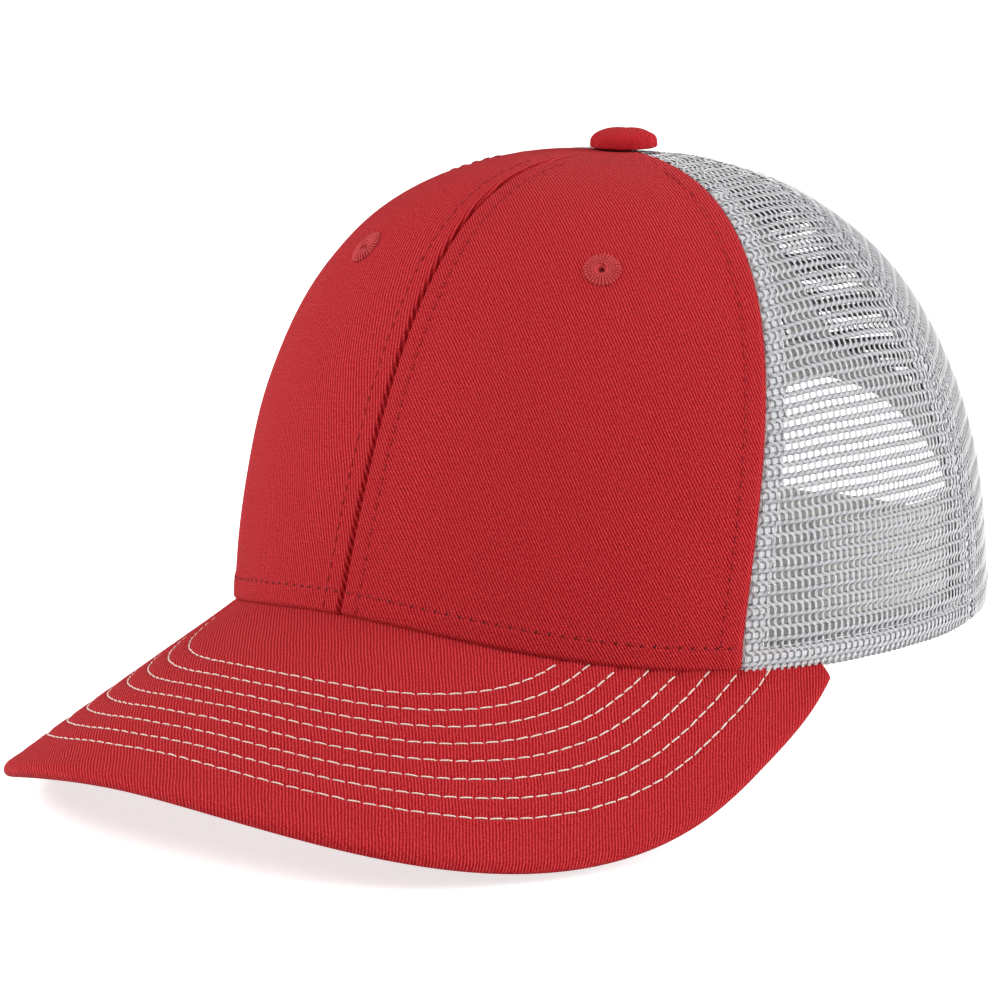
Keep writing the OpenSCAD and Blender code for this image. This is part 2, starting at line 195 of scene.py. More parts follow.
def arc_tables():
    a = np.arange(0, 181.0)[:, None]
    x = np.linspace(0, 1, X_STEPS + 1)
    steps = np.linalg.norm(np.diff(crown_point(a, 90 * ease(x)[None]), axis=1), axis=-1)
    lengths = np.concatenate([np.zeros((181, 1)), np.cumsum(steps, 1)], 1)
    marks = np.arange(0, 200, ARC_STEP)
    return lengths, np.array([np.interp(marks, row, x) for row in lengths])


ARC_AT_X, X_AT_ARC = arc_tables()


def arc_at(a, e):
    x = 0.5 - np.sin(np.arcsin(np.clip(1 - e / 45, -1, 1)) / 3)
    return bilinear(ARC_AT_X, np.abs(a), x * X_STEPS)


def e_at_arc(a, arc):
    return 90 * ease(bilinear(X_AT_ARC, np.abs(a), arc / ARC_STEP))


# ---- Shape of the bill: a flat sheet bent round a sloping cylinder ----
def bend_drop(x):
    return BILL_RADIUS - np.sqrt(BILL_RADIUS**2 - x * x)


def droop(uv):
    """How far the bill's corners sag below the bent sheet."""
    beside = ease((np.abs(uv[..., 0]) - 76) / 14)
    return BILL_DROOP * beside * ease((-uv[..., 1] - 30) / 40)


def sheet_z(p):
    slope = math.tan(math.radians(BILL_PITCH))
    plane = BILL_ROOT_Z + slope * (p[..., 1] + HEAD_FRONT)
    return plane - bend_drop(p[..., 0]) / cosd(BILL_PITCH) - droop(sheet_uv(p))


def sheet_uv(p):
    u = BILL_RADIUS * np.arcsin(p[..., 0] / BILL_RADIUS)
    v = (bend_drop(p[..., 0]) * sind(BILL_PITCH) - HEAD_FRONT - p[..., 1]) / cosd(BILL_PITCH)
    return np.stack([u, v], -1)


def sheet_point(uv, h):
    t = uv[..., 0] / BILL_RADIUS
    sunk = BILL_RADIUS - (BILL_RADIUS + h) * np.cos(t)
    y = -HEAD_FRONT - uv[..., 1] * cosd(BILL_PITCH) + sunk * sind(BILL_PITCH)
    z = BILL_ROOT_Z - uv[..., 1] * sind(BILL_PITCH) - sunk * cosd(BILL_PITCH) - droop(uv)
    return np.stack([(BILL_RADIUS + h) * np.sin(t), y, z], -1)


def bill_line(a):
    p = crown_point(a, np.zeros_like(a))
    return sheet_z(crown_point(a, e_at_height(a, sheet_z(p))))


def rim_z(a):
    a = np.asarray(a, float)
    z = bill_line(np.clip(a, -72, 72)) * (1 - ease((np.abs(a) - 58) / 14))
    return np.where(np.abs(a) > 72, 0, z)


def rim_arc(a):
    """Distance up the crown from the head opening to the rim."""
    return arc_at(a, e_at_height(a, rim_z(a)))


def wall_uv(a, gap):
    return sheet_uv(crown_at(a, e_at_height(a, bill_line(a)), -gap))


CORNER_UV = wall_uv(np.array([BILL_CORNER]), np.array([CORNER_GAP]))[0] + [0.7, 0]


def outline(d, steps=400):
    """The bill's outline on its sheet, inset by d, from the right corner to the left."""
    t = np.radians(np.linspace(-90, 90, steps))
    u = (BILL_HALF_WIDTH - d) * np.sign(np.sin(t)) * np.abs(np.sin(t)) ** (2 / BILL_SIDE_POWER)
    reach_out = BILL_LENGTH - BILL_WIDE_AT - d
    v = BILL_WIDE_AT + reach_out * np.maximum(np.cos(t), 0) ** (2 / BILL_FRONT_POWER)
    t = np.linspace(0, 1, steps // 8)[1:]
    side_u = (BILL_HALF_WIDTH - d) - (BILL_HALF_WIDTH - CORNER_UV[0]) * t**2
    side_v = mix(BILL_WIDE_AT, CORNER_UV[1], t)
    left = np.stack([side_u, side_v], -1)
    right = (left * [-1, 1])[::-1]
    return evenly(np.concatenate([right, np.stack([u, v], -1), left]), steps)


def path_lengths(path):
    """The distance along a path at each of its points."""
    return np.concatenate([[0], np.cumsum(np.linalg.norm(np.diff(path, axis=0), axis=1))])


def evenly(path, count):
    """The same path with its points at equal distances."""
    s = path_lengths(path)
    marks = np.linspace(0, s[-1], count)
    return np.stack([np.interp(marks, s, path[:, k]) for k in range(path.shape[1])], -1)


def inset_of(uv):
    """How far in from the bill's outline a place on the sheet is."""
    u, v = np.abs(uv[..., 0]), uv[..., 1] - BILL_WIDE_AT
    low, high = np.full(u.shape, -3.0), np.full(u.shape, 85.0)
    for _ in range(24):
        d = (low + high) / 2
        across = (u / (BILL_HALF_WIDTH - d)) ** BILL_SIDE_POWER
        ahead = (np.maximum(v, 0) / (BILL_LENGTH - BILL_WIDE_AT - d)) ** BILL_FRONT_POWER
        inside = across + ahead < 1
        low, high = np.where(inside, d, low), np.where(inside, high, d)
    t = np.clip(v / (CORNER_UV[1] - BILL_WIDE_AT), 0, 1)
    beside = BILL_HALF_WIDTH - u - (BILL_HALF_WIDTH - CORNER_UV[0]) * t**2
    return np.where(v < 0, beside, low)


# ---- Meshes: parts are (points, faces, uv), with uv in millimetres of cloth ----
def slab(outer, inner, uv):
    """A closed sheet. Seen from outside, outer's columns run right and its rows up."""
    rows, cols = outer.shape[:2]
    n = rows * cols
    i, j = np.mgrid[0:rows - 1, 0:cols - 1]
    k = (i * cols + j).ravel()
    skin = np.stack([k, k + 1, k + cols + 1, k + cols], 1)
    right = np.arange(1, rows) * cols + cols - 1
    top = (rows - 1) * cols + np.arange(cols - 2, -1, -1)
    left = np.arange(rows - 2, 0, -1) * cols
    edge = np.concatenate([np.arange(cols), right, top, left])
    after = np.roll(edge, -1)
    walls = np.stack([edge, edge + n, after + n, after], 1)
    faces = np.concatenate([skin, skin[:, ::-1] + n, walls])
    points = np.concatenate([outer.reshape(-1, 3), inner.reshape(-1, 3)])
    flat_uv = uv.reshape(-1, 2)
    return points, faces, np.concatenate([flat_uv, flat_uv])


def outwards(right_way, *grids):
    """The grids as they are, or with their columns reversed, so that faces look outwards."""
    return grids if right_way else [grid[:, ::-1] for grid in grids]


def caps(rings, corners, flip):
    """Faces that close the ends of tubes with an even number of corners."""
    found = []
    for m in range(0, corners - 2, 2):
        quad = [0, m + 1, m + 2, m + 3]
        found.append(rings[:, None] * corners + (quad[::-1] if flip else quad))
    return np.concatenate(found) if len(rings) else np.zeros((0, 4), int)


def tubes(centre, across, normal, half_w, half_h, along, corners=6, keep=None):
    """Tubes of shape (tube, ring); across x normal points along the tube."""
    count, rings = centre.shape[:2]
    keep = np.ones((count, rings), bool) if keep is None else keep
    turn = 2 * math.pi * np.arange(corners) / corners
    points = (centre[:, :, None]
              + (half_w[..., None] * np.cos(turn))[..., None] * across[:, :, None]
              + (half_h[..., None] * np.sin(turn))[..., None] * normal[:, :, None])
    linked = keep[:, :-1] & keep[:, 1:]
    padded = np.pad(linked, ((0, 0), (1, 1)))
    ring = np.arange(count * rings).reshape(count, rings)
    base = ring[:, :-1][linked][:, None]
    k = np.arange(corners)
    near, far = k[None], np.roll(k, -1)[None]
    walls = np.stack([base * corners + near, base * corners + far,
                      (base + 1) * corners + far, (base + 1) * corners + near], -1)
    faces = np.concatenate([walls.reshape(-1, 4),
                            caps(ring[padded[:, 1:] & ~padded[:, :-1]], corners, True),
                            caps(ring[padded[:, :-1] & ~padded[:, 1:]], corners, False)])
    uv = np.stack(np.broadcast_arrays(along[..., None], (half_w[..., None] * turn)), -1)
    used, faces = np.unique(faces, return_inverse=True)
    return points.reshape(-1, 3)[used], faces.reshape(-1, 4), uv.reshape(-1, 2)[used]


def lathe(profile, steps, ripple=None):
    """A closed shape turned about z. The profile runs from the top of the axis round to its foot."""
    turn = 2 * math.pi * np.arange(steps) / steps
    r, z = np.array(profile, float).T
    wave = np.zeros((len(r), steps)) if ripple is None else ripple(r[:, None], turn[None])
    radius = r[:, None] + wave * (r[:, None] > 0)
    points = np.stack([radius * np.cos(turn), radius * np.sin(turn),
                       np.broadcast_to(z[:, None], radius.shape)], -1)
    i, j = np.mgrid[0:len(r) - 1, 0:steps]
    k, after = i * steps + j, i * steps + (j + 1) % steps
    faces = np.stack([k, k + steps, after + steps, after], -1).reshape(-1, 4)
    uv = np.stack([points[..., 0], points[..., 1] + points[..., 2]], -1)
    return points.reshape(-1, 3), faces, uv.reshape(-1, 2)


def joined(parts):
    offset, points, faces, uv = 0, [], [], []
    for p, f, t in parts:
        points.append(p)
        faces.append(f + offset)
        uv.append(t)
        offset += len(p)
    return np.concatenate(points), np.concatenate(faces), np.concatenate(uv)


def piece(name, part, look, stands_for=(), body="crown"):
    """A Blender object for a part, riding on a body and standing for CAD nodes."""
    points, faces, uv = part
    mesh = bpy.data.meshes.new(name)
    mesh.vertices.add(len(points))
    mesh.vertices.foreach_set("co", (points * MM).astype(np.float32).ravel())
    mesh.loops.add(faces.size)
    mesh.loops.foreach_set("vertex_index", faces.astype(np.int32).ravel())
    mesh.polygons.add(len(faces))
    mesh.polygons.foreach_set("loop_start", np.arange(0, faces.size, 4, dtype=np.int32))
    mesh.update(calc_edges=True)
    mesh.uv_layers.new(name="Cloth")
    mesh.uv_layers["Cloth"].data.foreach_set("uv", uv[faces.ravel()].astype(np.float32).ravel())
    mesh.validate()
    mesh.shade_smooth()
    mesh.materials.append(look)
    obj = bpy.data.objects.new(name, mesh)
    bpy.context.scene.collection.objects.link(obj)
    if body:
        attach(obj, body)
    if stands_for:
        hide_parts(*stands_for)
    return obj


def apply_modifiers(obj):
    graph = bpy.context.evaluated_depsgraph_get()
    done = bpy.data.meshes.new_from_object(obj.evaluated_get(graph), depsgraph=graph)
    obj.modifiers.clear()
    obj.data = done


def cut(obj, centre, axis, radius, depth):
    """Cuts a round hole, centred at a place in millimetres."""
    bpy.ops.mesh.primitive_cylinder_add(
        vertices=40, radius=radius * MM, depth=depth * MM, location=Vector(centre) * MM)
    tool = bpy.context.object
    tool.rotation_mode = "QUATERNION"
    tool.rotation_quaternion = Vector(axis).to_track_quat("Z", "Y")
    bpy.context.view_layer.update()
    modifier = obj.modifiers.new("Hole", "BOOLEAN")
    modifier.object = tool
    modifier.operation = "DIFFERENCE"
    modifier.solver = "EXACT"
    apply_modifiers(obj)
    bpy.data.objects.remove(tool)


def cloth_uv(a, e):
    """Cloth coordinates over a grid on the crown: round from its middle, and up."""
    u = (a - a.mean()) * arc_scale(a, e)
    return np.stack([u, arc_at(a, e)], -1)


def crown_sheet(name, a, e, near, far, look, body="crown"):
    """A layer of the crown between two depths, standing for the node of its name."""
    part = slab(crown_at(a, e, near), crown_at(a, e, far), cloth_uv(a, e))
    return piece(name, part, look, [name], body)


def repaint(look, *names):
    """Gives CAD nodes that stay visible a better material."""
    for name in names:
        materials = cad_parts[name].data.materials
        materials.clear()
        materials.append(look)


def waves(x, seed, longest, shortest, count=6):
    """A smooth wandering curve between about -1 and 1."""
    source = np.random.default_rng(seed)
    total = np.zeros_like(x)
    for length in np.geomspace(longest, shortest, count):
        total += np.sin(2 * math.pi * (x / length + source.random())) * source.uniform(0.6, 1)
    return total / math.sqrt(count)


def uneven(t, start, end):
    """0 to 1, with points closer by the shares start and end near either end."""
    marks = np.linspace(0, 1, 2000)
    pace = 1 - start * (1 - ease(marks / 0.35)) - end * (1 - ease((1 - marks) / 0.35))
    total = np.concatenate([[0], np.cumsum((pace[1:] + pace[:-1]) / 2)])
    return np.interp(t, marks, total / total[-1])


# ---- Materials ----
def srgb(*levels):
    values = [c / 255 for c in levels]
    return [c / 12.92 if c < 0.04045 else ((c + 0.055) / 1.055) ** 2.4 for c in values] + [1]


class Look:
    """A material made of nodes."""

    def __init__(self, name, roughness=0.8, **shader_values):
        self.material = bpy.data.materials.new(name)
        self.material.use_nodes = True
        self.tree = self.material.node_tree
        self.shader = self.tree.nodes["Principled BSDF"]
        self.fill(self.shader, Roughness=roughness, **shader_values)

    def fill(self, node, **values):
        """Sets sockets, named with _ for spaces, and the node's own settings."""
        for key, value in values.items():
            socket = node.inputs.get(key.replace("_", " "))
            if socket:
                self.put(socket, value)
            else:
                setattr(node, key, value)

    def add(self, kind, *values, **named):
        node = self.tree.nodes.new("ShaderNode" + kind)
        self.fill(node, **named)
        for socket, value in zip(node.inputs, values):
            self.put(socket, value)
        return node

    def put(self, socket, value):
        if isinstance(value, bpy.types.NodeSocket):
            self.tree.links.new(value, socket)
        elif value is not None:
            socket.default_value = value

    def math(self, operation, a, b=None, c=None):
        return self.add("Math", a, b, c, operation=operation).outputs[0]

    def plus(self, *values):
        total = values[0]
        for value in values[1:]:
            total = self.math("ADD", total, value)
        return total

    def times(self, a, b):
        return self.math("MULTIPLY", a, b)

    def weigh(self, *values):
        """The sum of the sockets, each multiplied by the number after it."""
        return self.plus(*(self.times(a, b) for a, b in zip(values[::2], values[1::2])))

    def wave(self, phase):
        """0 to 1 and back once for each whole step of the phase."""
        turn = self.times(phase, 2 * math.pi)
        return self.math("MULTIPLY_ADD", self.math("SINE", turn), 0.5, 0.5)

    def cloth(self):
        """The cloth's u and v in millimetres, and both as a vector."""
        place = self.add("UVMap", uv_map="Cloth").outputs[0]
        parts = self.add("SeparateXYZ", place).outputs
        return parts[0], parts[1], place

    def object_mm(self):
        place = self.add("TexCoord").outputs["Object"]
        return self.add("VectorMath", place, (1000, 1000, 1000), operation="MULTIPLY").outputs[0]

    def noise(self, place, scale, detail=2.0):
        return self.add("TexNoise", Vector=place, Scale=scale, Detail=detail).outputs[0]

    def ramp(self, value, stops):
        node = self.add("ValToRGB", value)
        elements = node.color_ramp.elements
        for _ in stops[2:]:
            elements.new(0.5)
        for element, (at, colour) in zip(elements, stops):
            element.position = at
            element.color = colour
        return node.outputs[0]

    def mix(self, share, a, b):
        node = self.add("Mix", data_type="RGBA")
        self.put(node.inputs[0], share)
        self.put(node.inputs[6], a)
        self.put(node.inputs[7], b)
        return node.outputs[2]

    def colour(self, value):
        self.fill(self.shader, Base_Color=value)

    def shade(self, value, *stops):
        self.colour(self.ramp(value, stops))

    def worn(self, patches, dark, colour, rough_range, smoothest):
        """Patches that go from a darker, smoother shade to the colour."""
        self.colour(self.mix(patches, [c * dark for c in colour[:3]] + [1], colour))
        roughness = self.math("MULTIPLY_ADD", patches, rough_range, smoothest)
        self.fill(self.shader, Roughness=roughness)

    def bump(self, height, distance_mm):
        node = self.add("Bump", Strength=1.0, Distance=distance_mm * MM, Height=height)
        self.fill(self.shader, Normal=node.outputs[0])


def twill(name, pitch, lean, shades):
    """Ridged diagonal cloth. lean is the ridges' angle from level; shades run dark to light. Its colour
    follows the ridges' height: painted shade in the valleys and painted highlight on the ridges, with a
    random speckle in the yarn.
    """
    look = Look(name, 0.85, Sheen_Weight=0.02, Sheen_Roughness=0.5, Specular_IOR_Level=0.12)
    u, v, place = look.cloth()
    drift = look.times(look.noise(place, 0.11), 1.1)
    c, s = math.cos(math.radians(lean)), math.sin(math.radians(lean))
    phase = look.plus(look.weigh(u, s / pitch, v, c / pitch), drift)
    ridge = look.wave(phase)
    step = look.times(look.math("FLOOR", phase), 0.37)
    yarn_step = 0.62
    along = look.plus(look.weigh(u, -c / yarn_step, v, s / yarn_step), step)
    yarn = look.times(look.wave(along), ridge)
    height = look.weigh(ridge, 0.75, yarn, 0.3)
    speckle = look.noise(place, 1.7, 3.0)
    # Painted shade in the valleys and painted highlight on the ridges, mixed with the yarn's own random
    # speckle.
    ridge_shade_and_speckle = look.weigh(height, 0.72, look.math("SUBTRACT", speckle, 0.5), 0.9)
    look.shade(look.plus(ridge_shade_and_speckle, 0.08), *zip((0.05, 0.45, 0.95), shades))
    look.bump(look.plus(height, look.times(speckle, 0.25)), 0.16)
    return look.material


# Valley, middle and ridge colours: the dark end is painted shade, the light end painted highlight.
RED_SHADES = (srgb(132, 8, 16), srgb(190, 32, 40), srgb(222, 74, 78))
BUTTON_SHADES = (srgb(172, 24, 32), srgb(188, 32, 40), srgb(200, 46, 52))


def yarn_look(name, colour, roughness=0.5):
    """Filament yarn: fine lengthwise lines. Its colour stays unlinked on the heavy meshes."""
    look = Look(name, roughness, Sheen_Weight=0.2, Specular_IOR_Level=0.4)
    u, v, place = look.cloth()
    twist = look.wave(look.weigh(u, 1.4, v, 5.0))
    look.colour(colour)
    look.bump(look.plus(twist, look.noise(place, 2.5)), 0.05)
    return look.material


def thread_look(name, dark, light):
    look = Look(name, 0.55, Sheen_Weight=0.03, Specular_IOR_Level=0.2)
    u, v, place = look.cloth()
    ply = look.wave(look.weigh(u, 1.5, v, 1.0))
    fibre = look.wave(look.weigh(u, 4.0, v, 6.0))
    look.shade(look.weigh(ply, 0.7, look.noise(place, 1.2), 0.3), (0.1, dark), (0.7, light))
    look.bump(look.plus(ply, look.times(fibre, 0.3)), 0.09)
    return look.material


def tape_look(name, dark, light):
    """Narrow woven tape: fine ribs crossed by its long threads."""
    look = Look(name, 0.85, Sheen_Weight=0.2)
    u, v, place = look.cloth()
    ribs = look.times(v, 1 / 0.7)
    warp = look.wave(look.weigh(u, 1 / 0.5, look.math("FLOOR", ribs), 0.5))
    height = look.weigh(look.wave(ribs), 0.6, warp, 0.4)
    look.shade(look.weigh(height, 0.6, look.noise(place, 0.8), 0.4), (0.2, dark), (0.75, light))
    look.bump(height, 0.12)
    return look.material


def plain_weave(name, pitch, dark, light, roughness=0.9, distance=0.1):
    look = Look(name, roughness, Sheen_Weight=0.2)
    u, v, place = look.cloth()
    over = look.wave(look.times(u, 1 / pitch))
    under = look.wave(look.times(v, 1 / pitch))
    height = look.math("MAXIMUM", look.times(over, 0.9), under)
    fuzz = look.noise(place, 1.1, 4.0)
    look.shade(look.weigh(height, 0.5, fuzz, 0.5), (0.2, dark), (0.8, light))
    look.bump(look.plus(height, look.times(fuzz, 0.6)), distance)
    return look.material


def plastic_look(name, colour, roughness, through=0.0):
    """Moulded plastic with a faint orange-peel grain and small scuffs."""
    look = Look(name, roughness, Subsurface_Weight=through, Subsurface_Radius=(0.003, 0.003, 0.003))
    place = look.object_mm()
    grain = look.noise(place, 1.6, 3.0)
    scuff = look.noise(place, 0.25, 5.0)
    look.worn(scuff, 0.86, colour, 0.25, roughness - 0.1)
    look.bump(grain, 0.03)
    return look.material


def metal_look(name, colour):
    """Stamped metal with faint turned lines and dull patches."""
    look = Look(name, 0.35, Metallic=1.0)
    place = look.object_mm()
    dull = look.noise(place, 0.5, 4.0)
    look.worn(dull, 0.75, colour, 0.3, 0.2)
    look.bump(look.noise(place, 3.0), 0.02)
    return look.material


CROWN_TWILL = twill("Front twill", 0.68, 62, RED_SHADES)
BILL_TWILL = twill("Bill twill", 0.72, -48, RED_SHADES)
BUTTON_TWILL = twill("Button twill", 0.5, 62, BUTTON_SHADES)
MESH_YARN = yarn_look("Mesh yarn", srgb(250, 250, 252))
# The knit's ground is a greyer yarn than its strands: painted shade between the strands.
MESH_SHADED_GROUND = yarn_look("Mesh ground painted shade", srgb(216, 218, 223), 0.7)
# The doubled cloth is a little greyer than the strands: painted shade seen through the holes of the
# knit.
MESH_FOLD_SHADED = yarn_look("Folded mesh painted shade", srgb(228, 229, 233), 0.7)
# Dark grey yarn on the inner face of the knit's ground: painted shade inside the cap, where the real
# mesh is white.
MESH_INNER_SHADE_PAINT = yarn_look("Mesh inner face painted shade", srgb(106, 108, 114), 0.8)
RED_THREAD = thread_look("Red thread", srgb(140, 14, 22), srgb(196, 40, 48))
EYELET_THREAD = thread_look("Eyelet thread", srgb(176, 34, 42), srgb(222, 80, 84))
WHITE_THREAD = thread_look("White thread", srgb(240, 216, 200), srgb(255, 244, 232))
MESH_THREAD = thread_look("Mesh thread", srgb(196, 197, 200), srgb(240, 240, 240))
# Dark red dimples at the stitch ends: painted shade in the needle holes.
NEEDLE_HOLE_SHADE = thread_look("Needle hole shade", srgb(74, 4, 10), srgb(104, 8, 14))
WHITE_TAPE = tape_look("White tape", srgb(208, 208, 206), srgb(240, 240, 238))
BUCKRAM = plain_weave("Buckram", 0.9, srgb(70, 70, 74), srgb(112, 112, 116), 0.95, 0.2)
SWEAT_COTTON = plain_weave("Sweatband cotton", 0.45, srgb(206, 205, 202), srgb(238, 237, 234))
PAD_FOAM = plain_weave("Pad foam", 1.2, srgb(196, 194, 188), srgb(222, 220, 214), 0.95, 0.15)
STRAP_PLASTIC = plastic_look("Strap plastic", srgb(236, 236, 232), 0.38, 0.15)
BILL_PLASTIC = plastic_look("Bill board plastic", srgb(212, 212, 206), 0.5)
STEEL = metal_look("Nickel", srgb(196, 196, 200))
LABEL_SATIN = plain_weave("Label satin", 0.25, srgb(214, 214, 212), srgb(244, 244, 242), 0.5, 0.03)


# ---- Stitches ----
def stitches(path, normal, length, gap, radius, phase=0.0, sink=0.22, rise=0.12, wobble=0.06):
    """A row of thread stitches along a path on a surface, with both ends going into it."""
    s = path_lengths(path)
    count = max(int(s[-1] // (length + gap)), 1)
    starts = (np.arange(count) + phase) * s[-1] / count + gap / 2
    starts = starts[starts + length < s[-1]]
    t = np.linspace(0, 1, 7)
    marks = starts[:, None] + t * length
    arch = 1 - np.abs(2 * t - 1) ** 4

    def read(values):
        return np.stack([np.interp(marks, s, values[:, k]) for k in range(3)], -1)

    up = unit(read(normal))
    centre = read(path)
    along = unit(np.gradient(centre, axis=1))
    across = unit(np.cross(up, along))
    up = np.cross(along, across)
    lean = wobble * np.sin(1.7 * np.arange(len(starts)) ** 1.3)[:, None] * (2 * t - 1)
    centre = centre + (rise * arch - sink * (1 - arch))[None, :, None] * up
    centre = centre + lean[..., None] * across
    half = np.broadcast_to(radius * (0.7 + 0.3 * arch), marks.shape)
    return tubes(centre, across, up, half, half * 0.85, marks)


def needle_hole_shade(path, normal, length, gap, size=0.65, radius=0.26):
    """Dark dimples where the thread goes into the cloth: painted shade in the needle holes."""
    return stitches(path, normal, size, length + gap - size, radius, -0.5 * size / (length + gap),
                    sink=0.1, rise=0.03, wobble=0.0)


def sewing_line(a, e, relief):
    """Where thread lies on the crown's cloth, and which way is out."""
    return crown_at(a, e, -(relief + 0.02)), crown_normal(a, e)


# ---- Relief of the sewn edges ----
def seam_relief(d, at, seed_wave, height=0.45, valley=0.8, groove=0.28, width=0.75):
    """Height beside a seam, d away from it: a valley, the folded allowance, a sewn groove."""
    allowance = height * ease(d / 1.4) * (1 - ease((d - at - 0.1) / 1.3))
    pucker = 0.1 * seed_wave * hump(d - at, 2.4)
    sunk = valley * hump(d, width) + groove * hump(d - at, 0.42)
    return allowance - sunk + pucker


def apex_fade(e):
    """1 over the crown, falling to 0 at the button, where the seams run together."""
    return ease((88 - e) / 8)


SEAM_STITCH = 5.0
BASE_STITCH = 5.6


def front_relief(a, e, side):
    """How far the front twill stands out from the plain crown."""
    scale = arc_scale(a, e)
    arc = arc_at(a, e)
    middle = np.abs(a) * scale
    edge = np.abs(front_seam(e, side) - a) * scale
    base = arc - rim_arc(a)
    fade = ease((88.5 - e) / 6)
    out = seam_relief(middle, SEAM_STITCH, waves(arc, 3 + side, 19, 4.3),
                      0.16 - 0.05 * side, 1.0, 0.16, 0.5) * fade
    out = out + seam_relief(edge, SEAM_STITCH + 0.4, waves(arc, 9 + side, 17, 4.0),
                            0.2, 0.3, 0.16) * fade
    base_side = seam_relief(base, BASE_STITCH, waves(a * scale, 14 + side, 21, 5.0), 0.35, 0.0, 0.3)
    roll = -0.9 * hump(base, 0.7)
    swell = 0.22 * waves(arc + 0.6 * a, 21 + side, 90, 30, 4) * waves(a * scale, 31 + side, 110, 40, 3)
    return out + base_side + roll + swell * ease(middle / 12) * ease(edge / 12) * ease(base / 15)


def front_grid(side, rows, cols, start_share=0.8, end_share=0.8):
    """a and e over a front panel, a rising along each row."""
    k = uneven(np.linspace(0, 1, cols), start_share, end_share)[None]
    t = uneven(np.linspace(0, 1, rows), 0.75, 0.3)[:, None]
    middle = side * 0.04
    e = np.full((rows, cols), 40.0)
    for _ in range(8):
        seam = front_seam(e, side) + side * 0.1
        a = mix(middle, seam, k) if side > 0 else mix(seam, middle, k)
        arc = mix(rim_arc(a), arc_at(a, e_top(a)), t)
        e = e_at_arc(a, arc)
    return a, e


def eyelet_place(side):
    a, e = (np.array(value) for value in EYELET_AT[side])
    return crown_point(a, e), crown_normal(a, e)


def front_panel(side, word):
    a, e = front_grid(side, 170, 170)
    relief = front_relief(a, e, side)
    far = TWILL_T - 0.15 * np.minimum(relief, 0)
    vented(crown_sheet(f"front_panel_{word}", a, e, -relief, far, CROWN_TWILL), side)


def buckram(side, word):
    a, e = front_grid(side, 60, 60, 0.3, 0.3)
    far = BUCKRAM_DEPTH + BUCKRAM_T
    vented(crown_sheet(f"buckram_{word}", a, e, BUCKRAM_DEPTH, far, BUCKRAM), side)


def vented(obj, side):
    """Cuts the hole behind the eyelet."""
    place, normal = eyelet_place(side)
    cut(obj, place, normal, EYELET_HOLE_R + 0.9, 12)


def beside(seam, out, e):
    """a at a distance out from a seam."""
    return seam + out / arc_scale(seam, e)


def strip(seam, table_a, low, high, rows, out):
    """a and e over a strip along a seam, between two distances up the crown."""
    t = np.linspace(0, 1, rows)[:, None]
    e = e_at_arc(np.full((rows, 1), table_a), mix(low, high, t))
    a = beside(seam(e), out, e)
    return a, np.broadcast_to(e, a.shape)


# ---- Knitted mesh panels ----
WALE = 1.88           # between neighbouring holes
COURSE = 2.62         # between rows of holes
WALES = 37            # drawn on either side of a panel's middle
HEM = 7.5             # cloth turned up inside the head opening
FOLD_R = 0.45
RING_AT = np.array([0.0, 0.22, 0.44, 0.58, 0.72, 0.86])
BANDNESS = np.array([0.45, 0.0, 0.45, 1.0, 1.0, 1.0])
SHIFT = np.array([0.0, 0.0, 0.0, 0.25, 0.5, 0.75])
FOLDED = 5.5          # width of the doubled cloth beside the seams and at the bottom


def panel_tables(centre_a):
    """For cloth laid flat on its centre line: a at each arc and distance round, and how
    fast level rows bend downwards."""
    angles = centre_a + np.arange(-52, 53.0)
    arcs = np.arange(0, 190, 1.0)
    a, arc = np.meshgrid(angles, arcs)
    points = crown_point(a, e_at_arc(a, arc))
    steps = np.linalg.norm(np.diff(points, axis=1), axis=-1)
    round_it = np.concatenate([np.zeros((len(arcs), 1)), np.cumsum(steps, 1)], 1)
    round_it -= round_it[:, 52:53]
    marks = np.arange(-80, 81.0)
    a_table = np.array([np.interp(marks, row, angles) for row in round_it])
    radius = np.degrees(steps[:, 50:54].mean(1))
    radius = np.convolve(np.pad(radius, 4, mode="edge"), np.ones(9) / 9, "valid")
    bend = np.maximum(-np.gradient(radius), 0) / np.maximum(radius, 3)
    return a_table, bend, radius


def lay_on_crown(p, q, tables):
    """Cloth coordinates, p across and q up, to a and arc on the crown."""
    a_table, bend, radius = tables
    index = np.arange(len(bend))
    arc = q.copy()
    for _ in range(14):
        reach_p = np.minimum(np.abs(p), 0.9 * np.interp(arc, index, radius))
        arc = mix(arc, q - 0.5 * np.interp(arc, index, bend) * reach_p**2, 0.6)
    return bilinear(a_table, np.maximum(arc, 0), p + 80), arc


def rear_place(x, z):
    a = 180 - np.degrees(np.arcsin(np.minimum(x / HEAD_HALF_WIDTH, 1)))
    for _ in range(4):
        r = reach(a, e_at_height(a, z))
        a = 180 - np.degrees(np.arcsin(np.minimum(x / HEAD_HALF_WIDTH / r, 1)))
    return a, e_at_height(a, z)


ARCH_CORNER_A = float(rear_place(np.array(ARCH_HALF_WIDTH), np.array(0.0))[0])


def arch_room(a, z):
    """How far a place on the crown is outside the arch, in millimetres."""
    x = np.abs(crown_point(a, e_at_height(a, z))[..., 0])
    far = np.hypot(x / ARCH_HALF_WIDTH, z / ARCH_H)
    return np.where(np.abs(a) > 90, (far - 1) * 0.5 * (ARCH_HALF_WIDTH + ARCH_H), 99)


def doubled_relief(a, e, from_seam, seed):
    """Height of the doubled cloth of a mesh panel, from_seam degrees away from a seam."""
    d = np.abs(from_seam) * arc_scale(a, e)
    return seam_relief(d, SEAM_STITCH, waves(arc_at(a, e), seed, 15, 4), 0.3, 0.15, 0.2)


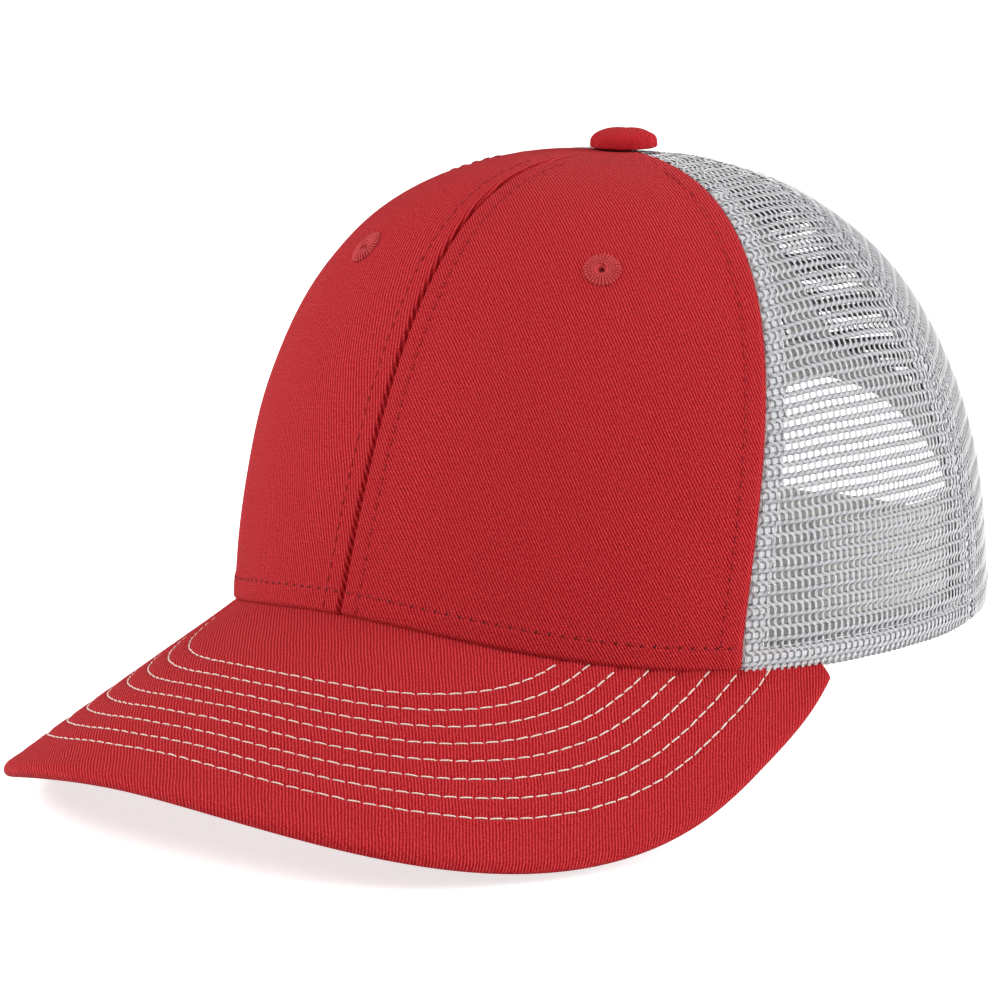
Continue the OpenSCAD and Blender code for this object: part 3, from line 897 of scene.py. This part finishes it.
def mesh_panel(name, side, centre_a, low_seam, high_seam):
    panel = side, panel_tables(centre_a), low_seam, high_seam
    wales = np.arange(-WALES, WALES + 1)
    courses = np.arange(-3, 70)
    q = ((courses[:, None] + RING_AT) * COURSE).ravel()
    band = np.tile(BANDNESS, len(courses))
    shift = (np.where(courses[:, None] % 2 == 0, SHIFT, 1 - SHIFT)).ravel() * WALE
    source = np.random.default_rng(int(centre_a) + 5 * (side > 0))
    gap = mix(0.36, 0.34, band)
    half_w = mix(0.2, 0.17, band)
    drift = 0.05 * source.standard_normal((len(wales), 1))
    p = wales[:, None] * WALE + shift + drift
    p = np.concatenate([p - gap / 2, p + gap / 2])
    p = p + 0.02 * source.standard_normal(p.shape)
    q = np.broadcast_to(q, p.shape)
    piece(name, cloth_tubes(p, q, half_w, 0.12, 0.1 + 0.11 * band, False, *panel),
          MESH_YARN, [name])
    # The doubled cloth behind the knit is greyer yarn: painted shade in its holes.
    piece(name + "_fold", joined(folded_edges(side, low_seam, high_seam)), MESH_FOLD_SHADED)
    ladder = np.arange(-WALES * WALE, WALES * WALE, WALE / 2)
    q = (courses[:, None] + 0.72) * COURSE + 0.0 * ladder
    p = np.broadcast_to(ladder, q.shape)
    half_w = 0.66 + 0.12 * np.cos(2 * math.pi * p / WALE)
    # The ground ribbon's greyer yarn is painted shade between the strands.
    for word, raised, look in (("_ground", 0.06, MESH_SHADED_GROUND), ("_inner_face_painted_shade", -0.12, MESH_INNER_SHADE_PAINT)):
        # The inner face layer is dark grey: painted shade inside the cap.
        piece(name + word, cloth_tubes(p, q, half_w, 0.04, raised, True, *panel), look)


def cloth_tubes(p, q, half_w, half_h, raised, level, side, tables, low_seam, high_seam):
    """Yarns laid on the crown along p and q in the cloth, turned up at its bottom edge."""
    q = q + 0.12 * waves(p, 5, 60, 20, 3)
    a, arc = lay_on_crown(p, q, tables)
    rim = rim_arc(a) + FOLD_R
    below = np.maximum(rim - arc, 0)
    turn = np.minimum(below / FOLD_R, math.pi)
    up_inside = np.maximum(below - math.pi * FOLD_R, 0)
    arc = np.where(below > 0, rim - FOLD_R * np.sin(turn) + up_inside, arc)
    e = e_at_arc(a, np.maximum(arc, 0))
    z = crown_point(a, e)[..., 2]
    scale = arc_scale(a, e)
    low, high = low_seam(e), high_seam(e)
    keep = ((a - low) * scale > 0.05) & ((high - a) * scale > 0.05)
    keep &= (up_inside < HEM) & (e < e_top(a)) & (arch_room(a, z) > 1.0)
    relief = (doubled_relief(a, e, a - low, 41) + doubled_relief(a, e, high - a, 43)) * apex_fade(e)
    from_seam = np.minimum(a - low, high - a) * scale
    lumps = 0.25 * waves(p + 0.4 * q, 51, 70, 25, 3) * ease(arc / 20) * ease((from_seam - 5) / 12)
    depth = 0.32 - raised - np.where(below > 0, 0, relief + lumps)
    depth = depth + 0.4 * ease((arc - 112) / 14)
    depth = depth + FOLD_R * (1 - np.cos(turn))
    normal = crown_normal(a, e)
    centre = crown_point(a, e) - depth[..., None] * normal
    down = np.array([0, 0, -1.0])
    facing = np.cos(turn)[..., None] * normal + np.sin(turn)[..., None] * down
    left = -unit(round_step(a, e))
    left = np.where(np.cos(turn)[..., None] < 0, -left, left)
    if level:
        left = unit(np.cross(facing, -left))
    if side < 0:
        centre, facing, left = (v * [-1, 1, 1] for v in (centre, facing, left))
        left = -left
    half_w = np.broadcast_to(half_w, p.shape)
    return tubes(centre, left, facing, half_w, np.full(p.shape, half_h), p if level else q, 4, keep)


def folded_edges(side, low_seam, high_seam):
    """The second layer of cloth behind the knit: beside each seam, and along the bottom."""
    parts = []
    for seam, way, seed in ((low_seam, 1, 41), (high_seam, -1, 43)):
        start = ARCH_H + 2 if abs(seam(40.0)) > 170 else 1.0
        low = arc_at(np.array(seam(5.0)), np.array([0.0]))[0] + start
        d = np.sort(way * np.linspace(0.1, FOLDED, 12))[None]
        a, e = strip(seam, seam(60.0), low, 118.0, 150, d)
        relief = seam_relief(np.abs(d), SEAM_STITCH, waves(arc_at(a, e), seed, 15, 4), 0.3, 0.15, 0.2)
        parts.append((a, e, 0.5 - relief * apex_fade(e)))
    up = np.linspace(0.5, FOLDED, 10)[:, None]
    low, high = low_seam(5.0) + 0.1, min(high_seam(5.0) - 0.1, ARCH_CORNER_A - 1.6)
    a = np.broadcast_to(np.linspace(low, high, 240)[None], (10, 240))
    e = e_at_arc(a, rim_arc(a) + up)
    parts.append((a, e, np.full(a.shape, 0.5)))
    slabs = []
    for a, e, depth in parts:
        grids = crown_at(a, e, depth), crown_at(a, e, depth + 0.15), cloth_uv(a, e)
        if side < 0:
            mirror = [-1, 1, 1], [-1, 1, 1], [1, 1]
            grids = ((grid * flip)[:, ::-1] for grid, flip in zip(grids, mirror))
        slabs.append(slab(*grids))
    return slabs


# ---- Tapes behind the seams ----
def tape(name, seam, low_z, high_e, depth):
    w = np.linspace(-0.5, 0.5, 15)[None] * TAPE_W
    foot, head = np.array(seam(5.0)), np.array(seam(80.0))
    low = arc_at(foot, e_at_height(foot, np.array(low_z)))
    a, e = strip(seam, seam(40.0), low, arc_at(head, np.array(high_e)), 120, w)
    ripple = 0.12 * waves(arc_at(a, e), 61, 30, 6, 4) + 0.1 * np.cos(w / TAPE_W * 2 * math.pi)
    uv = np.stack([np.broadcast_to(w, a.shape), arc_at(a, e)], -1)
    part = slab(crown_at(a, e, depth + ripple), crown_at(a, e, depth + ripple + TAPE_T), uv)
    piece(name, part, WHITE_TAPE, [name])


def all_tapes():
    middle = float(bill_line(np.array([0.0]))[0]) + 0.5
    tape("front_seam_tape", lambda e: 0.0 * e, middle, 80, TAPE_DEPTH)
    for side, word in SIDES:
        tape(f"front_side_tape_{word}", lambda e: front_seam(e, side), 1.5, 78, TAPE_DEPTH)
        tape(f"rear_side_tape_{word}", lambda e: rear_seam(e, side), 1.0, 76, MESH_TAPE_DEPTH)
    tape("rear_seam_tape", lambda e: 180.0 + 0.0 * e, ARCH_H + 11, 74, MESH_TAPE_DEPTH)


# ---- Stitching on the crown ----
STITCH_LENGTH, STITCH_GAP = 2.3, 0.6


def crown_stitching():
    red, marks, white = [], [], []
    t = np.linspace(0, 1, 500)

    def sew_red(a, e, side, size=0.6, radius=0.24):
        path, normal = sewing_line(a, e, front_relief(a, e, side))
        red.append(stitches(path, normal, STITCH_LENGTH, STITCH_GAP, 0.2))
        # Dark dimples at each stitch end: painted shade in the needle holes.
        marks.append(needle_hole_shade(path, normal, STITCH_LENGTH, STITCH_GAP, size, radius))

    def sew_white(a, e, relief=0.06):
        path, normal = sewing_line(a, e, relief)
        white.append(stitches(path, normal, STITCH_LENGTH, STITCH_GAP, 0.16))

    middle = np.zeros(1)
    low = arc_at(middle, e_at_height(middle, bill_line(middle)))[0] + 0.8
    for side, _ in SIDES:
        e = e_at_arc(np.zeros(500), mix(low, 136, t))
        sew_red(beside(0 * e, side * SEAM_STITCH, e), e, side)
        e = e_at_arc(np.full(500, 75.0), mix(8, 132, t))
        sew_red(beside(front_seam(e, side), -side * (SEAM_STITCH + 0.4), e), e, side)
        a = side * mix(0.6, 63.3, t)
        sew_red(a, e_at_arc(a, rim_arc(a) + BASE_STITCH), side, 0.8, 0.33)
        for seam, way, high in ((front_seam, 1, 130), (rear_seam, -1, 124), (rear_seam, 1, 124)):
            e = e_at_arc(np.full(500, 90.0), mix(7, high, t))
            sew_white(beside(seam(e, side), side * way * SEAM_STITCH, e), e)
        e = e_at_arc(np.full(500, 178.0), mix(ARCH_H + 12, 118, t))
        sew_white(side * (180 - SEAM_STITCH / arc_scale(np.full(500, 179.0), e)), e)
        a = side * mix(66.5, 146, t)
        sew_white(a, e_at_arc(a, rim_arc(a) + 5.5), 0.02)
    piece("crown_stitches_red", joined(red), RED_THREAD, ["crown_stitching"])
    piece("crown_stitches_white", joined(white), MESH_THREAD)
    piece("needle_hole_shade", joined(marks), NEEDLE_HOLE_SHADE)


def eyelet(side, word):
    """A worked ring: threads wrapped over a raised core round the hole."""
    count, t = 30, np.linspace(0, 1, 13)
    turn = 2 * math.pi * np.arange(count)[:, None] / count
    r = 0.65 + 3.55 * t**0.9 + 0.0 * turn
    r = r + 0.16 * np.sin(3.1 * np.arange(count) ** 1.2)[:, None] * t
    h = 0.7 * np.sin(math.pi * np.clip(t * 0.92 + 0.08, 0, 1)) ** 0.7 - 1.4 * (1 - ease(t / 0.14)) - 0.15
    centre = np.stack([r * np.cos(turn), r * np.sin(turn), np.broadcast_to(h, r.shape)], -1)
    along = unit(np.gradient(centre, axis=1))
    across = np.broadcast_to(np.stack([-np.sin(turn), np.cos(turn), 0 * turn], -1), centre.shape)
    up = np.cross(along, across)
    half = 0.12 + 0.2 * t**0.8 + 0.0 * turn
    threads = tubes(centre, across, up, half, half, r + 0.61 * np.arange(count)[:, None])
    core = lathe([(0.78, -1.2), (0.78, 0.0), (1.4, 0.2), (2.4, 0.3), (3.3, 0.2), (4.0, -0.05),
                  (4.1, -0.3), (4.0, -1.0), (3.9, -2.3), (0.85, -2.3), (0.78, -1.2)][::-1], 48)
    points, faces, uv = joined([threads, core])
    place, n = eyelet_place(side)
    x = unit(np.cross(np.array([0, 0, 1.0]), n))
    points = place + points @ np.stack([x, np.cross(n, x), n])
    name = f"eyelet_{word}"
    piece(name, (points, faces, uv), EYELET_THREAD, [name])


def button():
    """A cloth-covered dome, gathered under its rim."""
    foot, rim_h = 0.6, 0.7
    t = np.linspace(0, math.pi / 2, 26)[1:]
    dome_r = BUTTON_R * np.sin(t) ** 0.92
    dome_z = foot + rim_h + (BUTTON_H - rim_h) * np.maximum(np.cos(t), 0) ** 0.72
    profile = [(0.0, foot + BUTTON_H), *zip(dome_r, dome_z), (BUTTON_R + 0.08, 0.95),
               (BUTTON_R - 0.15, 0.55), (BUTTON_R - 0.9, 0.4), (BUTTON_R - 1.1, 0.9),
               (BUTTON_R - 1.3, 1.4), (BUTTON_R * 0.6, 3.6), (0.0, 5.0)]

    def gathers(r, turn):
        folds = 0.1 * np.sin(11 * turn + 0.7) + 0.07 * np.sin(17 * turn) + 0.05 * np.sin(5 * turn + 2)
        return ease((r - 5.2) / 2.7) * folds

    points, faces, uv = lathe(profile, 96, gathers)
    points = points + [0, APEX_BACK, CROWN_H]
    points[:, 2] += 0.10 * np.sin(points[:, 0] * 1.3) * (points[:, 2] > CROWN_H + 2)
    piece("button_cover", (points, faces, uv), BUTTON_TWILL, ["button_cover"])


# ---- Bill ----
def bill_surface(uv, d, facing):
    """Height of the bill's cloth over the flat sheet: facing 1 is the top, -1 the underside."""
    edge = 1 - np.clip(d / 2.6, 0, 1)
    corner = ease((-uv[..., 1] - 30) / 25)
    rolled = (BILL_T / 2 - 0.05) * (1 - np.sqrt(1 - edge**2)) * (1 - 0.4 * corner)
    row = (d - FIRST_ROW) / ROW_GAP
    off = np.abs(row - np.round(row)) * ROW_GAP
    past_last = d - FIRST_ROW - (STITCH_ROWS - 1) * ROW_GAP - 1
    sewn = ease((d - FIRST_ROW + 3) / 3) * (1 - ease(past_last / 3))
    groove = 0.3 * hump(off, 0.55) - 0.16 * ease(off / 1.8)
    u, v = uv[..., 0], uv[..., 1]
    pucker = 0.07 * waves(u * 0.9 + v * 0.35, 71, 14, 3.3) * hump(off, 1.6)
    swell = 0.16 * waves(u + 0.3 * v, 81, 80, 26, 4)
    roll_line = 0.22 * hump(d - 5.6, 1.1)
    out = -rolled + (pucker - groove) * sewn + swell * ease(d / 12) - roll_line * 0.5
    return out if facing > 0 else -BILL_T - out


def bill_grid(rows, cols):
    edge = outline(0.0, cols)
    fraction = np.linspace(0, 1, cols)
    root = wall_uv(mix(-BILL_CORNER + 0.5, BILL_CORNER - 0.5, fraction), np.full(cols, -0.9))
    t = uneven(np.linspace(0, 1, rows), 0.8, 0.0)[:, None, None]
    return mix(edge[None], root[None], t)


def bill_cover(name, facing):
    uv = bill_grid(190, 360)
    d = np.maximum(inset_of(uv), 0)
    h = bill_surface(uv, d, facing)
    skin = sheet_point(uv, h)
    lining = sheet_point(uv, h - facing * np.minimum(0.12 + 0.35 * d, 0.6))
    piece(name, slab(*outwards(facing > 0, skin, lining, uv)), BILL_TWILL, [name])


def bill_stitching():
    sewn = []
    for row in range(STITCH_ROWS):
        d = FIRST_ROW + row * ROW_GAP
        path = outline(d, 900)
        flat = sheet_point(path, np.zeros(len(path)))
        beyond = (flat[:, 0] / (HEAD_HALF_WIDTH - 1)) ** 2 + (flat[:, 1] / (HEAD_FRONT - 1)) ** 2 > 1
        path = path[beyond]
        for facing in (1, -1):
            h = bill_surface(path, np.full(len(path), d), facing)
            line = sheet_point(path, h)
            normal = unit(sheet_point(path, h + facing) - line)
            sewn.append(stitches(line, normal, 3.1, 0.3, 0.2, 0.4 * (row % 2), 0.12, 0.14, 0.1))
    piece("bill_stitches", joined(sewn), WHITE_THREAD, ["bill_stitching"])


# ---- Sweatband, arch and label ----
SIM_ROWS, SIM_COLS, SIM_FRAMES = 20, 260, 22
BAND_SEWN_AT = 3.2, 29.0      # heights of the two rows of stitches on the sweatband
ARCH_SEWN_AT = 1.2, 7.6       # and on the arch's binding, out from its edge


def simulated_swell(end):
    """How far the band's cloth, sewn down at both edges, swells inwards: a cloth simulation."""
    a = np.broadcast_to(np.linspace(-end, end, SIM_COLS)[None], (SIM_ROWS, SIM_COLS))
    up = np.linspace(0.5, SWEATBAND_H - 0.5, SIM_ROWS)[:, None] + 0 * a
    e = e_at_height(a, up)
    rest = crown_at(a, e, np.full(a.shape, BAND_DEPTH + BAND_T))
    i, j = np.mgrid[0:SIM_ROWS - 1, 0:SIM_COLS - 1]
    k = (i * SIM_COLS + j).ravel()
    faces = np.stack([k, k + SIM_COLS, k + SIM_COLS + 1, k + 1], 1)
    mesh = bpy.data.meshes.new("band_sheet")
    mesh.from_pydata((rest.reshape(-1, 3) * MM).tolist(), [], faces.tolist())
    sheet = bpy.data.objects.new("band_sheet", mesh)
    bpy.context.scene.collection.objects.link(sheet)
    held = (up < 4) | (up > SWEATBAND_H - 4) | (np.abs(a) > end - 1)
    sheet.vertex_groups.new(name="sewn").add(np.flatnonzero(held).tolist(), 1.0, "REPLACE")
    cloth = sheet.modifiers.new("Cloth", "CLOTH").settings
    cloth.mass = 0.002
    cloth.quality = 6
    cloth.tension_stiffness = cloth.compression_stiffness = 8
    cloth.shear_stiffness = 4
    cloth.bending_stiffness = 0.002
    cloth.shrink_min = -0.004
    cloth.vertex_group_mass = "sewn"
    cloth.use_pressure = True
    cloth.uniform_pressure_force = 6
    cloth.effector_weights.gravity = 0
    for step in range(1, SIM_FRAMES + 1):
        bpy.context.scene.frame_set(step)
    done = sheet.evaluated_get(bpy.context.evaluated_depsgraph_get()).data
    moved = np.empty(3 * len(done.vertices), np.float32)
    done.vertices.foreach_get("co", moved)
    shift = moved.reshape(rest.shape) / MM - rest
    bpy.data.objects.remove(sheet)
    bpy.context.scene.frame_set(1)
    return (shift * -crown_normal(a, e)).sum(-1)


BAND_END = ARCH_CORNER_A - 2
SWELL = simulated_swell(BAND_END)


def band_relief(a, up):
    """Soft creases down the sweatband, held flat at its two edges and flatter under the label."""
    free = ease(up / 6) * ease((SWEATBAND_H - up) / 5)
    creases = 0.35 * waves(a * 1.5 + 0.15 * up, 91, 60, 9, 6)
    if SWELL is None:
        return free * (creases + 0.3)
    a, up = np.broadcast_arrays(a, up)
    row = (up - 0.5) / (SWEATBAND_H - 1) * (SIM_ROWS - 1)
    column = (a / BAND_END + 1) / 2 * (SIM_COLS - 1)
    room = 0.55 + 0.45 * ease((np.abs(a - LABEL_A) - 9) / 4)
    return np.clip(0.6 * bilinear(SWELL, row, column) + 0.3 * free * creases, -0.1, room)


def nearer_at_sides(a, up):
    """How much closer the band lies to the side mesh than to the stiff front."""
    beside = ease((np.abs(a) - 74) / 6) * (1 - ease((np.abs(a) - 106) / 5))
    return beside * mix(1.2, 2.3, ease((np.asarray(up) - 7.5) / 3))


def wall_grid(end, cols, rows, low, high):
    """a, e and the share t of the way up, from low over the rim to high below the band's top."""
    a = np.linspace(-end, end, cols)[None]
    t = np.linspace(0, 1, rows)[:, None]
    z = mix(rim_z(a) + low, SWEATBAND_H - high, t)
    a = np.broadcast_to(a, z.shape)
    return a, e_at_height(a, z), t


def sweatband():
    a, e, t = wall_grid(BAND_END, 420, 44, 0.3, 0.4)
    up = mix(0.3, SWEATBAND_H - 0.5, t)
    tuck = 1.5 * (1 - ease(up / 3.0))
    low_row, high_row = BAND_SEWN_AT
    stitched = 0.35 * hump(up - low_row, 0.6) + 0.3 * hump(up - high_row, 0.5)
    hem = 0.35 * ease((up - 28.6) / 1.2)
    depth = BAND_DEPTH - tuck - nearer_at_sides(a, up)
    thick = BAND_T * (1 - 0.3 * (t > 0.985)) - stitched + band_relief(a, up) + hem * 0.6
    crown_sheet("sweatband", a, e, depth, depth + thick, SWEAT_COTTON)


def sweatband_padding():
    a, e, t = wall_grid(54, 120, 24, 4, 3)
    soft = PAD_T * (0.25 + 0.75 * ease(t / 0.15) * ease((1 - t) / 0.15))
    crown_sheet("sweatband_padding", a, e, PAD_DEPTH, PAD_DEPTH + soft, PAD_FOAM)


def sweatband_stitches():
    sewn = []
    a = np.linspace(-BAND_END + 1, BAND_END - 1, 1500)
    for up in BAND_SEWN_AT:
        e = e_at_height(a, rim_z(a) * (1 - up / SWEATBAND_H) + up)
        relief = band_relief(a, np.full(1500, up))
        depth = BAND_DEPTH - nearer_at_sides(a, up) + BAND_T - 0.25 + relief
        path, normal = crown_at(a, e, depth), -crown_normal(a, e)
        sewn.append(stitches(path[::-1], normal[::-1], 2.4, 0.8, 0.18))
    piece("sweatband_stitches", joined(sewn), MESH_THREAD)


def sew_both_faces(a, e, near, far, *sizes):
    """A row of stitches on each face of what the thread goes through."""
    return [stitches(crown_at(a, e, depth), way * crown_normal(a, e), *sizes)
            for depth, way in ((near, 1), (far, -1))]


def arch_place(t, out):
    """a and e at t, 0 to 180 degrees round the arch, and a distance out from its edge."""
    half = np.minimum(t, 180 - t)
    a, e = rear_place((ARCH_HALF_WIDTH + out) * cosd(half), (ARCH_H + out) * sind(half))
    return np.where(t > 90, -a, a), e


def arch_binding():
    steps = 240
    t = np.linspace(0, 180, steps)[:, None]
    bend = np.linspace(-90, 90, 9)
    leaf = np.linspace(8.8, 0.6, 14)
    nose_in, nose_out = 1.15 * cosd(bend), 1.15 * sind(bend)
    grow = np.concatenate([leaf, -nose_in * 0.9, leaf[::-1]])
    depth = np.concatenate([-0.72 + 0 * leaf, 0.4 + nose_out, 1.52 + 0 * leaf])
    shrink = np.concatenate([0.42 + 0 * leaf, 0.42 * sind(-bend), -0.42 + 0 * leaf])
    narrow = np.concatenate([0 * leaf, 0.42 * cosd(bend), 0 * leaf])
    ridge = sum(0.12 * hump(grow - row, 0.5) for row in ARCH_SEWN_AT)

    sunk = np.sign(depth - 0.4) * -ridge
    run = np.arange(steps) * 0.75
    ripple = 0.08 * waves(run, 101, 26, 5, 5)[:, None] * np.sign(depth - 0.4)
    outer = crown_at(*arch_place(t, grow), depth + sunk + ripple)
    inner = crown_at(*arch_place(t, grow + narrow), depth + shrink + sunk + ripple)
    across = np.concatenate([[0], np.cumsum(np.hypot(np.diff(grow), np.diff(depth)))])
    uv = np.stack(np.meshgrid(across, run), -1)
    part = slab(*outwards(False, outer, inner, uv))
    piece("arch_binding", part, WHITE_TAPE, ["arch_binding"])
    sewn = []
    for out in ARCH_SEWN_AT:
        a, e = arch_place(np.linspace(3, 177, 900), out)
        sewn += sew_both_faces(a, e, -0.62, 1.42, 2.3, 0.7, 0.18)
    return sewn


def care_label():
    up = np.linspace(0, 1, 30)[:, None]
    wide = np.linspace(-7, 7, 24)[None]
    a = LABEL_A + wide + 0 * up
    z = mix(SWEATBAND_H + 0.4 - LABEL_H, SWEATBAND_H + 0.4, up) + 0 * wide
    e = e_at_height(a, z)
    curl = 0.5 * (1 - up) ** 2 * (wide / 7) ** 2 + 0.25 * np.sin(3 * up + wide * 0.2) * (1 - up)
    depth = LABEL_DEPTH + 0.35 + curl
    obj = crown_sheet("care_label", a, e, depth, depth + LABEL_T, LABEL_SATIN, None)
    middle = crown_at(a, e, depth)[:, 12]
    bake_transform(obj)


# ---- Snap straps ----
def strap_place(radius, angle):
    return np.stack([radius * sind(angle), STRAP_CENTRE_Y + radius * cosd(angle)], -1)


def strap(side, outer_r):
    """A strap with its tab: side 1 holds the holes, -1 the pegs."""
    mid = outer_r - STRAP_T / 2
    tab_cols, root_a, tab_length, tab_h = 30, STRAP_HINGE_A - 1.2, 13.5, 6.0
    levels = np.linspace(-1, 1, 17)[:, None]
    arc = np.linspace(root_a, -STRAP_END_A, 190)
    run = np.radians(root_a - arc) * mid
    tip = np.clip((run - (run[-1] - STRAP_H / 2)) / (STRAP_H / 2), 0, 0.9999)
    run = np.concatenate([-np.linspace(tab_length, 3.2, tab_cols), run])
    tip = np.concatenate([np.zeros(tab_cols), tip])
    tab_half = tab_h - 1.2 * (1 - ease((run + tab_length) / 1.2))
    half = np.where(run < 0, tab_half, mix(tab_h, STRAP_H / 2, ease(run / 4))) * np.sqrt(1 - tip**2)
    z = STRAP_H / 2 + levels * half
    wall_a, wall_e = rear_place(np.linspace(52.6, 42.6, tab_cols), z[:, :tab_cols])
    tab = crown_at(side * wall_a, wall_e, TAB_DEPTH + TAB_T / 2)
    plan = strap_place(mid, side * arc)
    free = np.stack(np.broadcast_arrays(plan[:, 0], plan[:, 1], z[:, tab_cols:]), -1)
    middle = np.concatenate([tab, free], 1)
    out = unit(np.cross(unit(np.gradient(middle, axis=1)), [0, 0, 1.0])) * side
    thick = np.where(run < 0, TAB_T, STRAP_T) / 2 * (1 - 0.25 * np.abs(levels) ** 8)
    step = out * thick[..., None]
    uv = np.stack([np.broadcast_to(run, z.shape), z], -1)
    return slab(*outwards(side < 0, middle + step, middle - step, uv))


def on_strap(points, angle, radius):
    """Moves a part built round z so that its axis points out of the strap."""
    out = np.array([sind(angle), cosd(angle), 0.0])
    side = np.array([cosd(angle), -sind(angle), 0.0])
    centre = np.append(strap_place(radius, angle), STRAP_H / 2)
    return centre + points @ np.stack([side, np.array([0, 0, -1.0]), out])


def at_snaps(profile, angles, radius):
    """The same turned shape at each snap."""
    points, faces, uv = lathe(profile, 40)
    return joined([(on_strap(points, angle, radius), faces, uv) for angle in angles])


def hole_strap():
    angles = [(i - (ENGAGED - 1) / 2) * SNAP_STEP for i in range(SNAPS)]
    obj = piece("hole_strap", strap(1, STRAP_RADIUS), STRAP_PLASTIC,
                ["hole_strap", "hole_strap_tab"], body=None)
    for angle in angles:
        centre = np.append(strap_place(STRAP_RADIUS, angle), STRAP_H / 2)
        cut(obj, centre, (sind(angle), cosd(angle), 0), HOLE_R, 10)
    blend_strap(obj)
    ring = [(HOLE_R, -0.3), (HOLE_R + 0.05, 0.22), (HOLE_R + 0.3, 0.32), (HOLE_R + 0.75, 0.28),
            (HOLE_R + 1.0, -0.05), (HOLE_R + 0.9, -0.3), (HOLE_R, -0.3)]
    piece("hole_strap_rings", at_snaps(ring[::-1], angles, STRAP_RADIUS), STRAP_PLASTIC,
          body="hole_half")


def peg_strap():
    radius = STRAP_RADIUS - STRAP_T - STRAP_GAP
    angles = [((ENGAGED - 1) / 2 - i) * SNAP_STEP for i in range(SNAPS)]
    obj = piece("peg_strap", strap(-1, radius), STRAP_PLASTIC,
                ["peg_strap", "peg_strap_tab"], body=None)
    blend_strap(obj)
    top = STRAP_T + STRAP_GAP + 0.3
    peg = [(0.0, top), (0.9, top - 0.05), (1.5, top - 0.25), (PEG_R + 0.05, top - 0.6),
           (PEG_R, top - 0.9), (PEG_R - 0.1, 0.35), (PEG_R + 0.1, 0.1), (PEG_R + 0.25, -0.3),
           (0.0, -0.3)]
    piece("peg_strap_pegs", at_snaps(peg, angles, radius), STRAP_PLASTIC,
          body="peg_half")


def blend_strap(obj):
    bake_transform(obj)


def strap_stitching():
    sewn = []
    for side in (1, -1):
        for x in (44.5, 51.5):
            a, e = rear_place(np.full(60, x), np.linspace(1.5, 12.5, 60))
            sewn += sew_both_faces(side * a, e, -0.7, TAB_DEPTH + TAB_T, 2.2, 0.5, 0.2)
    return sewn


# ---- The cap ----
for side, word in SIDES:
    front_panel(side, word)
    buckram(side, word)
    eyelet(side, word)
    mesh_panel(f"side_mesh_{word}", side, 90.0,
               lambda e: front_seam(e, 1) + SEAM_SLIT, lambda e: rear_seam(e, 1) - SEAM_SLIT)
    mesh_panel(f"rear_mesh_{word}", side, 148.0,
               lambda e: rear_seam(e, 1) + SEAM_SLIT, lambda e: 180 - SEAM_SLIT + 0 * e)
all_tapes()
crown_stitching()
button()
bill_cover("bill_top_cover", 1)
bill_cover("bill_under_cover", -1)
bill_stitching()
repaint(STEEL, "button_shell", "button_rivet", "button_washer")
repaint(BILL_PLASTIC, "bill_board")
sweatband()
sweatband_padding()
sweatband_stitches()
sewn_at_back = arch_binding() + strap_stitching()
piece("rear_stitches", joined(sewn_at_back), MESH_THREAD, ["strap_stitching"])
hole_strap()
peg_strap()
care_label()


# ---- Floor, light and camera ----
scene = bpy.context.scene
AZIMUTH, ELEVATION, LENS_MM = 42.2, 10.1, 189.9
TARGET, OFF_RIGHT, OFF_UP, DISTANCE = (0, 0, 0.05125), 0.0263, 0.0261, 1.23


def floor():
    bpy.ops.mesh.primitive_plane_add(size=12, location=(0, 0, cad_box[0][2] - 0.0012))
    plane = bpy.context.object
    plane.name = "floor"
    look = Look("Floor", 0.9, Specular_IOR_Level=0.1)
    look.colour(look.mix(look.noise(look.object_mm(), 0.002), srgb(246, 246, 246), srgb(250, 250, 250)))
    seen = look.add("LightPath").outputs["Is Camera Ray"]
    look.fill(look.shader, Emission_Color=(1, 1, 1, 1), Emission_Strength=look.times(seen, 0.7))
    plane.data.materials.append(look.material)


def area_light(name, place, size, power, target=(0, -0.02, 0.05)):
    data = bpy.data.lights.new(name, "AREA")
    data.shape = "DISK"
    data.size = size
    data.energy = power
    lamp = bpy.data.objects.new(name, data)
    scene.collection.objects.link(lamp)
    lamp.location = place
    lamp.rotation_euler = (Vector(target) - Vector(place)).to_track_quat("-Z", "Y").to_euler()


def camera():
    azimuth, elevation = math.radians(AZIMUTH), math.radians(ELEVATION)
    right = Vector((math.cos(azimuth), math.sin(azimuth), 0))
    back = Vector((math.sin(azimuth) * math.cos(elevation),
                   -math.cos(azimuth) * math.cos(elevation), math.sin(elevation)))
    up = back.cross(right)
    data = bpy.data.cameras.new("Camera")
    data.lens = LENS_MM
    data.sensor_width = 36
    data.clip_start = 0.01
    view = bpy.data.objects.new("Camera", data)
    scene.collection.objects.link(view)
    view.location = Vector(TARGET) - OFF_RIGHT * right - OFF_UP * up + DISTANCE * back
    view.rotation_euler = (-back).to_track_quat("-Z", "Y").to_euler()
    scene.camera = view


def studio_world(seen, lighting):
    """White behind the cap, and a dimmer even light on it."""
    world = bpy.data.worlds.new("Studio")
    world.use_nodes = True
    tree = world.node_tree
    light_path = tree.nodes.new("ShaderNodeLightPath")
    level = tree.nodes.new("ShaderNodeMapRange")
    level.inputs["To Min"].default_value = lighting
    level.inputs["To Max"].default_value = seen
    tree.links.new(light_path.outputs["Is Camera Ray"], level.inputs["Value"])
    background = tree.nodes["Background"]
    background.inputs["Color"].default_value = (1, 1, 1, 1)
    tree.links.new(level.outputs["Result"], background.inputs["Strength"])
    scene.world = world


floor()
studio_world(1.0, 0.34)
area_light("Key", (-1.1, -1.4, 1.35), 1.2, 36)
area_light("Fill", (1.7, 0.7, 0.8), 1.6, 32)
area_light("Back", (0.3, 1.8, 1.4), 1.4, 6)
scene.view_settings.view_transform = "Standard"
camera()
